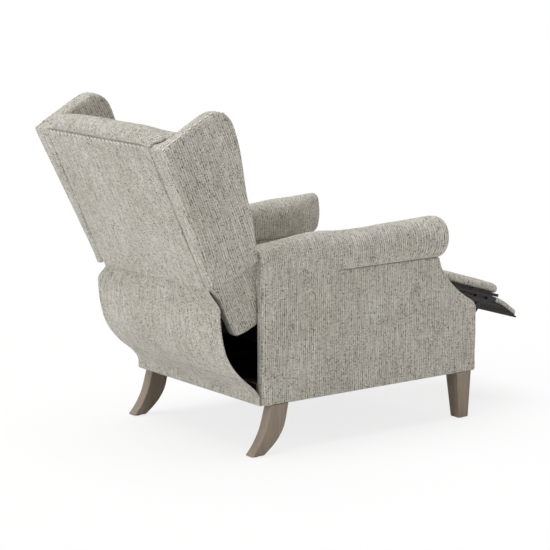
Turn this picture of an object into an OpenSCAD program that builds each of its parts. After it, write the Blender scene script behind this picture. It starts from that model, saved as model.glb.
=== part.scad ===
// Wing chair that leans back and has a fold-out footrest, in millimetres, +Z up.
// The chair faces -Y and is drawn leaned back with the footrest open.
// Heights start at the floor. Depths start at the tips of the rear feet until
// placed() moves the whole chair so that its footprint box is centred on the origin.

/* [Body] */
// Depth of a side from its rear face to its front face
body_d = 805; // [785:5:860]
// Height of the legs
leg_h = 145; // [120:1:170]
// Height of a side above the legs, up to the arm
side_h = 365; // [355:1:385]
// Thickness of a side, cover and frame together
side_t = 28; // [26:1:32]
// Thickness of the padded cover on the outside of a side
cover_t = 12; // [8:1:14]
// Thickness of the padded cover on the edges of a side
edge_cover_t = 6; // [4:1:9]
// Width of the front face of a side
front_face_w = 56; // [54:1:60]
// Depth of the wide border along the front edge of a side
border_d = 40; // [30:1:50]
// Distance from the rear foot tips to the rear face of the sides
rear_inset = 39; // [30:1:50]
// Depth of the curve at the upper front of a side
curve_d = 147; // [130:1:160]
// Drop of that curve below the arm
curve_drop = 172; // [150:1:190]

/* [Arms] */
// Width of an arm at the rear
arm_w = 90; // [86:1:96]
// Radius of the arm roll at its front end
roll_r = 60; // [52:1:66]
// Height of the roll centre above the side, at the front end
roll_rise = 62; // [58:1:70]
// Height of the roll centre above the side, where the roll starts
roll_start_rise = 56; // [53:1:60]
// Distance of the roll start from the rear face
roll_start = 185; // [160:5:210]
// Distance of the roll front end back from the front of the curve start
roll_over = 15; // [8:1:20]
// Thickness of the rounded rim at the front of the roll
roll_rim = 8; // [4:1:12]
// Height of the rear arm's crown above the side, at its rear end
arm_crown = 92; // [86:1:98]
// Rise angle of the rear arm's top towards the front
arm_slope = 6.3; // [2:0.1:8]
// Radius of the rear top edge of the arm
arm_edge_r = 28; // [20:1:34]
// Length of the rear part of the arm
arm_rear_l = 281; // [250:1:300]

/* [Legs] */
// Side of a front leg at its foot
front_foot_w = 38; // [30:1:46]
// Outward splay of a front foot
front_splay = 8; // [0:1:12]
// Thickness of a rear leg
rear_leg_t = 36; // [30:1:44]
// Forward distance of a rear leg's top from its foot tip
rear_leg_reach = 70; // [55:1:80]
// Depth of a rear leg at its top
rear_leg_top_d = 60; // [50:1:70]
// Depth of a rear leg at its foot
rear_leg_foot_d = 43; // [36:1:50]
// Height of the glides under the feet
glide_h = 3; // [2:0.5:5]
// Radius of the glides
glide_r = 10; // [7:0.5:14]

/* [Back] */
// Angle of the back from the vertical, leaned back
back_tilt = 24.5; // [22:0.5:26]
// Distance of the back's lower rear corner behind the sides
back_behind = 161; // [156:1:168]
// Height of the back's lower rear corner above the legs
back_rise = 358; // [352:1:366]
// Length of the outer back panel
panel_l = 460; // [420:5:500]
// Distance of the outer back panel's edges in from the outer faces of the sides
panel_in = 54; // [48:1:58]
// Thickness of the outer back panel
panel_t = 12; // [8:1:14]
// Drop of the outer back panel below the back's lower corner
panel_drop = 15; // [10:1:20]
// Height of the top pad above the outer back panel
top_pad_h = 41; // [30:1:50]
// Depth of the back from its rear face to its cushion
back_d = 96; // [94:1:100]
// Thickness of the inner back cushion
back_cushion_t = 76; // [60:1:80]
// Length of a wing along the back
wing_l = 463; // [440:1:490]
// Depth of a wing from the rear face of the back
wing_d = 234; // [220:1:245]
// Spread of a wing's outer face at its top beyond the panel edge
wing_top_out = 77; // [66:1:84]
// Spread of a wing's outer face at its lower rear corner beyond the panel edge
wing_low_out = 35; // [30:1:42]
// Spread of a wing's outer face at its lower front corner beyond the panel edge
wing_front_out = 54; // [46:1:58]
// Length of the lower side covers of the back
fin_l = 175; // [150:1:180]
// Thickness of the tail panel
tail_t = 5; // [3:0.5:7]
// Distance of the tail panel's upper edge in from the outer back panel's edges
tail_top_in = 4; // [2:1:12]
// Height over which the tail panel widens
tail_flare_h = 41; // [30:1:60]

/* [Seat] */
// Height of the seat cushion's bottom above the legs
seat_rise = 199; // [197:1:205]
// Thickness of the seat cushion at its front
seat_front_t = 122; // [100:1:128]
// Thickness of the seat cushion at its rear
seat_rear_t = 90; // [80:1:100]
// Crown of the seat cushion
seat_crown = 14; // [0:1:20]
// Distance of the seat cushion back from the front of the sides
seat_set = 72; // [70:1:90]
// Length of the seat cushion
seat_l = 672; // [650:1:676]

/* [Movement] */
// Angle by which the back comes up
recline_angle = 14; // [8:0.5:14]
// Travel of the seat carriage as the back comes up
seat_travel = 39; // [30:1:42]
// Angle by which the footrest folds
fold_angle = 73; // [60:1:75]
// Slope of the open footrest below the horizontal
foot_slope = 17; // [12:1:20]
// Travel of the second pad under the main pad
lip_travel = 100; // [80:1:100]

/* [Footrest] */
// Width of the main footrest pad, on which the width of the whole chair rests
foot_w = 490; // [470:2:520]
// Gap between the footrest pad and the arms that carry it
foot_side_gap = 7.5; // [6:0.5:10]
// Length of the main footrest pad
foot_l = 245; // [225:1:250]
// Height of the main pad's upper face above its centre line
foot_top = 18; // [14:1:22]
// Thickness of the footrest board
board_t = 9; // [6:1:10]
// Depth of the board's underside below the pad's centre line
board_low = 23; // [22:1:26]
// Thickness of the second pad
lip_t = 17; // [12:1:20]
// Length of the second pad
lip_l = 198; // [180:1:205]

/* [Hardware] */
// Thickness of the carriage plates
plate_t = 4; // [3:0.5:5]
// Thickness of links, brackets and arms
link_t = 5; // [4:0.5:6]
// Gap between parts that pass each other side by side
side_gap = 0.5; // [0.3:0.1:1]
// Gap between a carriage plate and the front face border
plate_gap = 4; // [3:0.5:6]
// Radius of the main pivot pins
pin_r = 6; // [5:0.5:7]
// Radius of the link and rod pins
small_pin_r = 5; // [4:0.5:6]
// Radial clearance of a pin in its hole
pin_fit = 0.05; // [0.02:0.01:0.1]
// Radius of the leg bolts
bolt_r = 4; // [3:0.5:5]

/* [Hidden] */
$fn = 64;

// Overrun of a cut past the face it leaves
over = 1;
// Gap that keeps a soft part clear of its neighbour
soft_gap = 0.3;
// Steps in a quarter of an arc, and steps between two points of a curve
arc_steps = 8;
curve_steps = 4;

// Planes across the chair, from the footrest outwards to the sides
foot_x = foot_w / 2;
arm_plane_x0 = foot_x + foot_side_gap;
arm_plane_x1 = arm_plane_x0 + link_t;
plate_x0 = arm_plane_x1 + side_gap;
plate_x1 = plate_x0 + plate_t;
post_x = plate_x1 + plate_gap;
half_w = post_x + front_face_w;
frame_x = half_w - side_t;
lining_t = 2;
lining_x = frame_x - lining_t;
rod_plane_x1 = arm_plane_x0 - side_gap;
rod_plane_x0 = rod_plane_x1 - link_t;
arm_in_x = half_w - arm_w;

// Planes along the chair and heights of the body
rear_y = -rear_inset;
front_y = rear_y - body_d;
side_top = leg_h + side_h;
rail_lift = 3;
rail_h = 60;
rail_t = 22;
rail_z = leg_h + rail_lift;
front_rail_in = 182;
front_rail_y = front_y + front_rail_in;

// Front curve of a side: shares of its depth forwards and of its drop downwards
curve_shares = [[0, 0], [0.02, 0.10], [0.12, 0.285], [0.40, 0.555], [0.67, 0.745],
                [0.87, 0.845], [0.965, 0.915], [1, 1]];
curve_y = front_y + curve_d;

function lerp(a, b, t) = a + (b - a) * t;
function turned(p, a) = [p.x * cos(a) - p.y * sin(a), p.x * sin(a) + p.y * cos(a)];
function flat_list(rows) = [for (row = rows) each row];
function backwards(row) = [for (i = [len(row) - 1 : -1 : 0]) row[i]];
function arc(centre, r, a0, a1, n) =
    [for (i = [0 : n]) centre + r * [cos(lerp(a0, a1, i / n)), sin(lerp(a0, a1, i / n))]];

// Smooth curve through the given points (Catmull-Rom)
function bend(a, b, c, d, t) =
    0.5 * (2 * b + (c - a) * t + (2 * a - 5 * b + 4 * c - d) * t * t
    + (3 * b - a - 3 * c + d) * t * t * t);
function smooth(p, n) =
    let (last = len(p) - 1)
    concat([for (i = [0 : last - 1], k = [0 : n - 1])
        bend(p[max(i - 1, 0)], p[i], p[i + 1], p[min(i + 2, last)], k / n)], [p[last]]);

// The same path moved sideways by d, to the left of its direction
function unit(v) = v / norm(v);
function shifted(p, d) = [for (q = p) [q.x + d, q.y]];
function aside(p, d) =
    let (last = len(p) - 1)
    [for (i = [0 : last])
        let (along = unit(p[min(i + 1, last)] - p[max(i - 1, 0)]))
        p[i] + d * [-along.y, along.x]];

// Points in the depth and height plane, written as pairs (y, z)
front_curve = smooth([for (q = curve_shares)
    [curve_y - q.x * curve_d, side_top - q.y * curve_drop]], curve_steps);
corner_r = 12;
side_outline = concat(
    arc([rear_y - corner_r, leg_h + corner_r], corner_r, 0, -90, arc_steps),
    [[front_y, leg_h]], backwards(front_curve), [[rear_y, side_top]]);
frame_curve = aside(front_curve, edge_cover_t);
frame_outline = concat(
    [[rear_y - edge_cover_t, leg_h], [front_y + edge_cover_t, leg_h]],
    backwards([for (p = frame_curve) if (p.y < side_top) p]),
    [[frame_curve[0].x, side_top], [rear_y - edge_cover_t, side_top]]);

// Back frame: u runs up along the back, v runs forwards from its rear face
back_y = rear_y + back_behind;
back_z = leg_h + back_rise;
function back_pt(u, v) = [back_y + u * sin(back_tilt) - v * cos(back_tilt),
                          back_z + u * cos(back_tilt) + v * sin(back_tilt)];
panel_top = panel_l - panel_drop;
panel_x = half_w - panel_in;

// Pivot of the back on the carriage, and the links that guide it
pivot_in = 46;
pivot_rise = 255;
back_pivot = [rear_y - pivot_in, leg_h + pivot_rise];
link_eye_in = 30;
link_eye_drop = 95;
link_span = 110;
link_eye = back_pivot - [link_eye_in, link_eye_drop];
link_eye_up = back_pivot + turned(link_eye - back_pivot, recline_angle) + [seat_travel, 0];
link_base = below_middle(link_eye, link_eye_up, link_span);

// Point at a distance under the middle of two points, square to their line
function below_middle(a, b, d) =
    let (along = unit(b - a)) (a + b) / 2 + d * [along.y, -along.x];

// Footrest frame: s runs outwards along the pad, n is square to it
foot_in = 18;
foot_rise = 273;
foot_origin = [front_y + foot_in, leg_h + foot_rise];
function foot_pt(s, n) = foot_origin
    + [-s * cos(foot_slope) - n * sin(foot_slope), -s * sin(foot_slope) + n * cos(foot_slope)];
// The closed pad stands upright just inside the front, at this place of its origin
closed_in = 22;
closed_rise = 230;
foot_closed = [front_y + closed_in - seat_travel, leg_h + closed_rise];
// The hinge is where a turn by the fold angle takes the open place to the closed one
foot_pivot = let (go = foot_closed - foot_origin)
    (foot_origin + foot_closed) / 2 + [-go.y, go.x] / (2 * tan(fold_angle / 2));
bar_s = 110;
bar_low = -60;
rod_tip = foot_pt(bar_s, bar_low);
rod_tip_in = foot_pivot + turned(foot_pt(bar_s - lip_travel, bar_low) - foot_pivot, fold_angle);
rod_span = 120;
rod_base = below_middle(rod_tip, rod_tip_in, rod_span);

// Carriage plate: a bar with an arm to the back pivot and a nose to the footrest
knee_rise = 117;
bar_h = 44;
arm_strap_w = 28;
nose_strap_w = 26;
knee_rear_in = 201;
knee_front_in = 244;
knee_rear = [rear_y - knee_rear_in, leg_h + knee_rise];
knee_front = [front_y + knee_front_in, leg_h + knee_rise];

// Fixed guides and the runners inside them
guide_rise = 107;
guide_z = leg_h + guide_rise;
guide_h = 34;
guide_wall = 3;
guide_d = 14;
guide_l = 490;
guide_in = 121;
runner_l = 400;
runner_t = 8.5;
runner_in = 60;

// Seat frame
seat_z = leg_h + seat_rise;
spring_t = 3.5;
seat_rail_w = 25;
seat_rail_h = 40;
seat_rail_z = seat_z - spring_t - soft_gap - seat_rail_h;
seat_half = rod_plane_x0;
seat_rail_set = 7;
seat_rail_x = seat_half - seat_rail_set;
seat_y0 = front_y + seat_set;
seat_y1 = seat_y0 + seat_l;
seat_frame_in = 16;
mount_t = 4;
mount_w = 40;
mount_in = 190;

// Tail panel: shares of its depth and height, from the rear rail up to the outer back
tail_shares = [[0, 0], [0.02, 0.063], [0.154, 0.132], [0.552, 0.279], [0.839, 0.45],
               [0.972, 0.658], [1.007, 0.877], [1, 1]];
tail_lift = 8;
tail_gap = 3;
tail_set = 7;
tail_start = [rear_y + tail_t, leg_h + tail_lift];
tail_end = back_pt(-panel_drop - tail_gap, 0) - [tail_set, 0];

// Moves the chair so that the middle of its footprint box is the origin
module placed() {
    translate([0, middle_y, 0]) children();
}

// Draws on the right as it is, or mirrored onto the left
module on_side(s) {
    if (s > 0) children();
    else mirror([1, 0, 0]) children();
}

module both_sides() {
    children();
    mirror([1, 0, 0]) children();
}

// Plate across X whose outline is given as (y, z)
module plate_x(x0, x1, outline) {
    translate([x0, 0, 0]) rotate([90, 0, 90]) linear_extrude(x1 - x0) polygon(outline);
}

module rod_x(r, x0, x1, p) {
    translate([x0, p.x, p.y]) rotate([0, 90, 0]) cylinder(r = r, h = x1 - x0);
}

// Flat strap between two points, with round ends
module strap_x(x0, x1, a, b, w) {
    along = unit(b - a);
    across = [-along.y, along.x] * w / 2;
    plate_x(x0, x1, [a + across, b + across, b - across, a - across]);
    rod_x(w / 2, x0, x1, a);
    rod_x(w / 2, x0, x1, b);
}

module box(low, high) {
    translate(low) cube(high - low);
}

// Own frame of the back: X, minus v, u
module in_back() {
    translate([0, back_y, back_z]) rotate([-back_tilt, 0, 0]) children();
}

// Own frame of the footrest: X, minus s, n
module in_foot() {
    translate([0, foot_origin.x, foot_origin.y]) rotate([foot_slope, 0, 0]) children();
}

module back_box(x0, x1, v0, v1, u0, u1) {
    in_back() box([x0, -v1, u0], [x1, -v0, u1]);
}

module foot_box(x0, x1, s0, s1, n0, n1) {
    in_foot() box([x0, -s1, n0], [x1, -s0, n1]);
}

// Closed mesh from rings of equal length and a tip at either end
module ring_mesh(rings, low_tip, high_tip) {
    n = len(rings[0]);
    last = len(rings) - 1;
    points = concat([low_tip], flat_list(rings), [high_tip]);
    top = len(points) - 1;
    function at(r, k) = 1 + r * n + k % n;
    faces = concat(
        [for (k = [0 : n - 1]) [0, at(0, k), at(0, k + 1)]],
        flat_list([for (r = [0 : last - 1], k = [0 : n - 1])
            [[at(r, k), at(r + 1, k), at(r, k + 1)],
             [at(r, k + 1), at(r + 1, k), at(r + 1, k + 1)]]]),
        [for (k = [0 : n - 1]) [top, at(last, k + 1), at(last, k)]]);
    polyhedron(points = points, faces = faces, convexity = 4);
}

// Section of a stuffed part: share of the way out from the middle, share of the height
puff_shares = [[0.4, 0], [0.75, 0], [0.93, 0.015], [0.985, 0.13], [1, 0.3], [0.988, 0.5],
               [1, 0.7], [0.985, 0.87], [0.93, 0.985], [0.8, 1], [0.6, 1], [0.35, 1]];

crown_share = 0.9;

// Stuffed part over a plan of points: low(p) and high(p) give its two faces and crown
// lifts the middle of the high face
module stuffed(plan, middle, low, high, crown) {
    function face(p, q) = lerp(low(p), high(p), q.y)
        + (q.y > crown_share ? crown * (1 - q.x * q.x) : 0);
    rings = [for (q = puff_shares) [for (k = plan)
        let (p = middle + (k - middle) * q.x) [p.x, p.y, face(p, q)]]];
    ring_mesh(rings, [middle.x, middle.y, low(middle)],
        [middle.x, middle.y, high(middle) + crown]);
}

// Rounded rectangle of n points: the exponent squares it up
plan_power = 0.28;
plan_points = 40;
function bulged(c) = sign(c) * pow(abs(c), plan_power);
function soft_plan(hx, hy) = [for (i = [0 : plan_points - 1])
    let (a = 360 * i / plan_points) [hx * bulged(cos(a)), hy * bulged(sin(a))]];

module side_frame(s) {
    color("burlywood") placed() on_side(s) difference() {
        plate_x(frame_x, half_w - cover_t, frame_outline);
        for (p = bolt_places) translate([p.x, p.y, leg_h - over])
            cylinder(r = bolt_r + pin_fit, h = bolt_up + over);
    }
}

// Leg bolts stand in the side frames above the middle of each leg
bolt_up = 40;
bolt_down = 20;
bolt_x = (frame_x + half_w - cover_t) / 2;
front_leg_set = 18;
front_leg_y = front_y + front_face_w / 2 + front_leg_set;
rear_leg_y = -rear_leg_reach - rear_leg_top_d / 2;
bolt_places = [[bolt_x, front_leg_y], [bolt_x, rear_leg_y]];

module side_panel(s) {
    border = concat(front_curve, [[front_y, leg_h]],
        [[front_y + border_d, leg_h]], backwards(shifted(front_curve, border_d)));
    color("lightgray") placed() on_side(s) {
        difference() {
            plate_x(frame_x, half_w, side_outline);
            plate_x(frame_x - over, half_w - cover_t, frame_outline_open);
        }
        plate_x(post_x, frame_x, backwards(border));
    }
}
frame_outline_open = [for (p = frame_outline)
    [p.x, p.y >= side_top ? p.y + over : (p.y <= leg_h ? p.y - over : p.y)]];

// Arm: a rounded box behind, a flared roll in front, and a neck down to the side
arm_r = arm_w / 2;
arm_cx = arm_in_x + arm_r;
roll_cx = arm_in_x + roll_r;
roll_a = [arm_cx, rear_y - roll_start, side_top + roll_start_rise];
roll_b = [roll_cx, curve_y - roll_over, side_top + roll_rise];
function crown_z(y) = side_top + arm_crown + (rear_y - y) * tan(arm_slope);
module arm_roll(s) {
    run = roll_b - roll_a;
    arm_end = rear_y - arm_rear_l;
    front_r = arm_r;
    shape = concat([[rear_y, side_top]],
        arc([rear_y - arm_edge_r, crown_z(rear_y) - arm_edge_r], arm_edge_r, 0, 90, arc_steps),
        arc([arm_end + front_r, crown_z(arm_end) - front_r], front_r, 90, 180, arc_steps),
        [[arm_end, side_top]]);
    color("gainsboro") placed() on_side(s) {
        intersection() {
            translate([arm_cx, rear_y, crown_z(rear_y) - arm_r]) rotate([90 - arm_slope, 0, 0])
            translate([0, 0, -arm_r]) {
                cylinder(r = arm_r, h = arm_rear_l + 2 * arm_r);
                translate([-arm_r, -side_h, 0]) cube([arm_w, side_h, arm_rear_l + 2 * arm_r]);
            }
            plate_x(arm_in_x, half_w, shape);
        }
        translate(roll_a)
        rotate([90 - asin(run.z / norm(run)), 0, atan2(run.x, -run.y)]) {
            cylinder(r1 = arm_r, r2 = roll_r, h = norm(run));
            translate([0, 0, norm(run)]) cylinder(r1 = roll_r, r2 = roll_r - roll_rim, h = roll_rim);
        }
        box([frame_x, curve_y, side_top], [half_w, rear_y - roll_start, roll_a.z]);
    }
}

// Padding inside each arm, beside the seat
pad_h = 115;
pad_rear_in = 91;
pad_set = 3;
pad_x0 = rod_plane_x0 + pad_set;
module arm_inner_pads() {
    low = side_top - pad_h;
    edge = [for (p = shifted(front_curve, border_d + soft_gap)) if (p.y > low) p];
    outline = concat([[rear_y - pad_rear_in, low], [rear_y - pad_rear_in, side_top]],
        edge, [[edge[len(edge) - 1].x, low]]);
    color("silver") placed() both_sides() plate_x(pad_x0, lining_x, outline);
}

// Dark cloth on the inner face of each side frame, above the rails
lining_lift = 68;
module side_linings() {
    low = leg_h + lining_lift;
    inset = border_d + soft_gap;
    outline = concat([[rear_y - edge_cover_t, low], [front_y + inset, low]],
        backwards(shifted(front_curve, inset)), [[rear_y - edge_cover_t, side_top]]);
    color([0.1, 0.1, 0.1]) placed() both_sides() plate_x(lining_x, frame_x, outline);
}

module front_leg(s) {
    top = front_face_w / 2;
    foot = front_foot_w / 2;
    cx = post_x + top;
    corners = [[-1, -1], [1, -1], [1, 1], [-1, 1]];
    points = concat(
        [for (c = corners) [cx + front_splay + c.x * foot, front_leg_y + c.y * foot, glide_h]],
        [for (c = corners) [cx + c.x * top, front_leg_y + c.y * top, leg_h]]);
    color("rosybrown") placed() on_side(s) difference() {
        polyhedron(points = points, faces = [[0, 1, 2, 3], [7, 6, 5, 4],
            [0, 4, 5, 1], [1, 5, 6, 2], [2, 6, 7, 3], [3, 7, 4, 0]]);
        translate([bolt_x, front_leg_y, leg_h - bolt_down])
            cylinder(r = bolt_r + pin_fit, h = bolt_down + over);
    }
}

rear_leg_out = 4;
// Sabre leg: shares of the reach (back to front) and of the leg height for its rear edge
sabre_rear_shares = [[0, 0], [0.1, 0.045], [0.38, 0.215], [0.64, 0.435], [0.79, 0.63], [1, 1]];
sabre_front_shares = [[0, 0], [0.22, 0.10], [0.42, 0.20], [0.63, 0.34], [0.84, 0.57], [1, 1]];
module rear_leg(s) {
    rise = leg_h - glide_h;
    rear = [for (q = sabre_rear_shares) [-q.x * rear_leg_reach, glide_h + q.y * rise]];
    reach = rear_leg_reach + rear_leg_top_d - rear_leg_foot_d;
    fore = [for (q = sabre_front_shares) [-rear_leg_foot_d - q.x * reach, glide_h + q.y * rise]];
    outline = concat(smooth(fore, curve_steps), backwards(smooth(rear, curve_steps)));
    x1 = bolt_x + rear_leg_t / 2 + rear_leg_out;
    color("rosybrown") placed() on_side(s) difference() {
        plate_x(x1 - rear_leg_t, x1, outline);
        translate([bolt_x, rear_leg_y, leg_h - bolt_down])
            cylinder(r = bolt_r + pin_fit, h = bolt_down + over);
    }
}

module leg_glides() {
    front_x = post_x + front_face_w / 2 + front_splay;
    rear_x = bolt_x + rear_leg_out;
    color([0.15, 0.15, 0.15]) placed() both_sides() {
        translate([front_x, front_leg_y, 0]) cylinder(r = glide_r, h = glide_h);
        translate([rear_x, -rear_leg_foot_d / 2, 0]) cylinder(r = glide_r, h = glide_h);
    }
}

module leg_bolts() {
    color("silver") placed() both_sides() for (p = bolt_places)
        translate([p.x, p.y, leg_h - bolt_down]) cylinder(r = bolt_r, h = bolt_up + bolt_down);
}

module front_rail() {
    color("burlywood") placed()
        box([-frame_x, front_rail_y, rail_z], [frame_x, front_rail_y + rail_t, rail_z + rail_h]);
}

module rear_rail() {
    color("burlywood") placed()
        box([-frame_x, rear_y - rail_t, rail_z], [frame_x, rear_y, rail_z + rail_h]);
}

block_w = 34;
block_h = 45;
module corner_blocks() {
    color("tan") placed() both_sides() {
        translate([frame_x, rear_y - rail_t, rail_z]) linear_extrude(block_h)
            polygon([[0, 0], [-block_w, 0], [0, -block_w]]);
        translate([frame_x, front_rail_y + rail_t, rail_z]) linear_extrude(block_h)
            polygon([[0, 0], [-block_w, 0], [0, block_w]]);
    }
}

module guide_channels() {
    y1 = rear_y - guide_in;
    z0 = guide_z - guide_h / 2;
    color("dimgray") placed() both_sides() difference() {
        box([lining_x - guide_d, y1 - guide_l, z0], [lining_x, y1, z0 + guide_h]);
        box([lining_x - guide_d - over, y1 - guide_l - over, z0 + guide_wall],
            [lining_x - guide_wall, y1 + over, z0 + guide_h - guide_wall]);
    }
}

// Lugs on the rear rail that carry the drive links
lug_r = 12;
module link_brackets() {
    face = rear_y - rail_t;
    color("dimgray") placed() both_sides() difference() {
        union() {
            rod_x(lug_r, arm_plane_x0, arm_plane_x1, link_base);
            plate_x(arm_plane_x0, arm_plane_x1, [
                [face, link_base.y - lug_r], [link_base.x, link_base.y - lug_r],
                [link_base.x, link_base.y + lug_r], [face, link_base.y + lug_r]]);
        }
        rod_x(small_pin_r + pin_fit, arm_plane_x0 - over, arm_plane_x1 + over, link_base);
    }
}

pin_head_t = 2.5;
pin_head_r = 9;
module link_pins() {
    color("silver") placed() both_sides() {
        rod_x(small_pin_r, rod_plane_x0 - side_gap, arm_plane_x1, link_base);
        rod_x(pin_head_r, arm_plane_x1, arm_plane_x1 + pin_head_t, link_base);
    }
}

// Loose panel that hangs from the outer back to the rear rail
tail_curve = smooth([for (q = tail_shares)
    [lerp(tail_start.x, tail_end.x, q.x), lerp(tail_start.y, tail_end.y, q.y)]], curve_steps);
tail_side_gap = 7;
module tail_panel() {
    top = tail_end.y;
    half = half_w - tail_side_gap;
    top_half = panel_x - tail_top_in;
    front = [[-half, 0], [half, 0], [half, top - tail_flare_h], [top_half, top],
        [-top_half, top], [-half, top - tail_flare_h]];
    outline = concat(tail_curve, backwards(aside(tail_curve, tail_t)));
    color("gray") placed() intersection() {
        plate_x(-half, half, outline);
        translate([0, back_y + over, 0]) rotate([90, 0, 0])
            linear_extrude(back_y - rear_y + 2 * over) polygon(front);
    }
}

module carriage_plate(s) {
    tab_top = seat_rail_z;
    nose = nose_strap_w / 2;
    color("dimgray") placed() on_side(s) difference() {
        union() {
            strap_x(plate_x0, plate_x1, back_pivot, knee_rear, arm_strap_w);
            strap_x(plate_x0, plate_x1, knee_rear, knee_front, bar_h);
            strap_x(plate_x0, plate_x1, knee_front, foot_pivot, nose_strap_w);
            strap_x(plate_x0, plate_x1, knee_front, rod_base, nose_strap_w);
            strap_x(plate_x0, plate_x1, foot_pivot, rod_base, nose_strap_w);
            plate_x(plate_x0, plate_x1, [knee_front, foot_pivot, rod_base]);
            for (y = mount_places) plate_x(plate_x0, plate_x1, [[y, knee_rear.y],
                [y + mount_w, knee_rear.y], [y + mount_w, tab_top], [y, tab_top]]);
        }
        rod_x(pin_r + pin_fit, plate_x0 - over, plate_x1 + over, back_pivot);
        rod_x(pin_r + pin_fit, plate_x0 - over, plate_x1 + over, foot_pivot);
        rod_x(small_pin_r + pin_fit, plate_x0 - over, plate_x1 + over, rod_base);
    }
}
mount_places = [seat_y1 - mount_in, seat_y0 + mount_in];

spacer_r = 9;
spacer_in = 60;
module runners() {
    x1 = lining_x - guide_wall - side_gap;
    x0 = x1 - runner_t;
    y1 = rear_y - guide_in - runner_in;
    tall = (guide_h - 2 * guide_wall) / 2 - side_gap;
    color("silver") placed() both_sides() {
        box([x0, y1 - runner_l, guide_z - tall], [x1, y1, guide_z + tall]);
        for (y = [y1 - spacer_in, y1 - runner_l + spacer_in])
            rod_x(spacer_r, plate_x1, x0, [y, guide_z]);
    }
}

tube_r = 11;
tube_in = 60;
module carriage_tubes() {
    color("dimgray") placed() for (p = [knee_rear - [tube_in, 0], knee_front])
        rod_x(tube_r, -plate_x0, plate_x0, p);
}

module seat_mounts() {
    color("dimgray") placed() both_sides() for (y = mount_places)
        box([seat_rail_x - seat_rail_w, y, seat_rail_z - mount_t],
            [plate_x0, y + mount_w, seat_rail_z]);
}

module seat_side_rails() {
    color("burlywood") placed() both_sides()
        box([seat_rail_x - seat_rail_w, seat_y0 + seat_frame_in, seat_rail_z],
            [seat_rail_x, seat_y1 - seat_frame_in, seat_rail_z + seat_rail_h]);
}

module seat_cross_rail(y) {
    x = seat_rail_x - seat_rail_w;
    color("burlywood") placed()
        box([-x, y, seat_rail_z], [x, y + seat_rail_w, seat_rail_z + seat_rail_h]);
}
module seat_front_rail() { seat_cross_rail(seat_y0 + seat_frame_in); }
module seat_rear_rail() { seat_cross_rail(seat_y1 - seat_frame_in - seat_rail_w); }

// Sinuous wire from one rail to another, as a flat band that swings from side to side
wave_w = 36;
wave_step = 52;
wave_points = 8;
module wave_spring(l) {
    waves = floor(l / wave_step);
    path = [for (i = [0 : waves * wave_points])
        [wave_w / 2 * sin(360 * i / wave_points), l * i / waves / wave_points]];
    linear_extrude(spring_t)
        polygon(concat(aside(path, spring_t / 2), backwards(aside(path, -spring_t / 2))));
}

seat_spring_count = 5;
module seat_springs() {
    l = seat_l - 2 * seat_frame_in - seat_rail_w;
    room = 2 * (seat_rail_x - seat_rail_w) / seat_spring_count;
    color("silver") placed() for (i = [0 : seat_spring_count - 1])
        translate([(i - (seat_spring_count - 1) / 2) * room,
            seat_y0 + seat_frame_in + seat_rail_w / 2, seat_rail_z + seat_rail_h]) wave_spring(l);
}

module seat_cushion() {
    middle = [0, (seat_y0 + seat_y1) / 2];
    plan = [for (p = soft_plan(seat_half, seat_l / 2)) middle + p];
    color("lightgray") placed() stuffed(plan, middle, function (p) seat_z,
        function (p) seat_z + lerp(seat_front_t, seat_rear_t, (p.y - seat_y0) / seat_l),
        seat_crown);
}

// Headed pin that hangs a part of the inner plane on a carriage plate
module headed_pin(r, p, x0) {
    rod_x(r, x0, plate_x1, p);
    rod_x(pin_head_r, plate_x1, plate_x1 + pin_head_t, p);
}
module back_pivot_pins() {
    color("silver") placed() both_sides() headed_pin(pin_r, back_pivot, arm_plane_x0);
}
module footrest_pins() {
    color("silver") placed() both_sides() headed_pin(pin_r, foot_pivot, arm_plane_x0);
}
module rod_pins() {
    color("silver") placed() both_sides() {
        headed_pin(small_pin_r, rod_base, rod_plane_x0 - side_gap);
        rod_x(pin_head_r, arm_plane_x0, plate_x0, rod_base);
    }
}

// Wooden frame of the back
back_rail_w = 26;
back_rail_d0 = panel_t;
back_rail_d1 = back_d - spring_t - soft_gap;
back_rail_x = arm_plane_x0 - back_rail_w;
back_low_u = -165;
back_rail_set = 17;
back_high_u = panel_top - back_rail_set;
cross_rail_h = 32;
module back_side_rails() {
    color("burlywood") placed() both_sides()
        back_box(back_rail_x, arm_plane_x0, back_rail_d0, back_rail_d1, back_low_u, back_high_u);
}
module back_top_rail() {
    color("burlywood") placed() back_box(-back_rail_x, back_rail_x, back_rail_d0, back_rail_d1,
        back_high_u - cross_rail_h, back_high_u);
}
module back_bottom_rail() {
    color("burlywood") placed() back_box(-back_rail_x, back_rail_x, back_rail_d1 / 2,
        back_rail_d1, back_low_u, back_low_u + cross_rail_h);
}

back_spring_count = 4;
module back_springs() {
    l = back_high_u - back_low_u - cross_rail_h;
    room = 2 * back_rail_x / back_spring_count;
    color("silver") placed() in_back() for (i = [0 : back_spring_count - 1])
        translate([(i - (back_spring_count - 1) / 2) * room, -back_rail_d1,
            back_low_u + cross_rail_h / 2]) rotate([90, 0, 0]) wave_spring(l);
}

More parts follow.
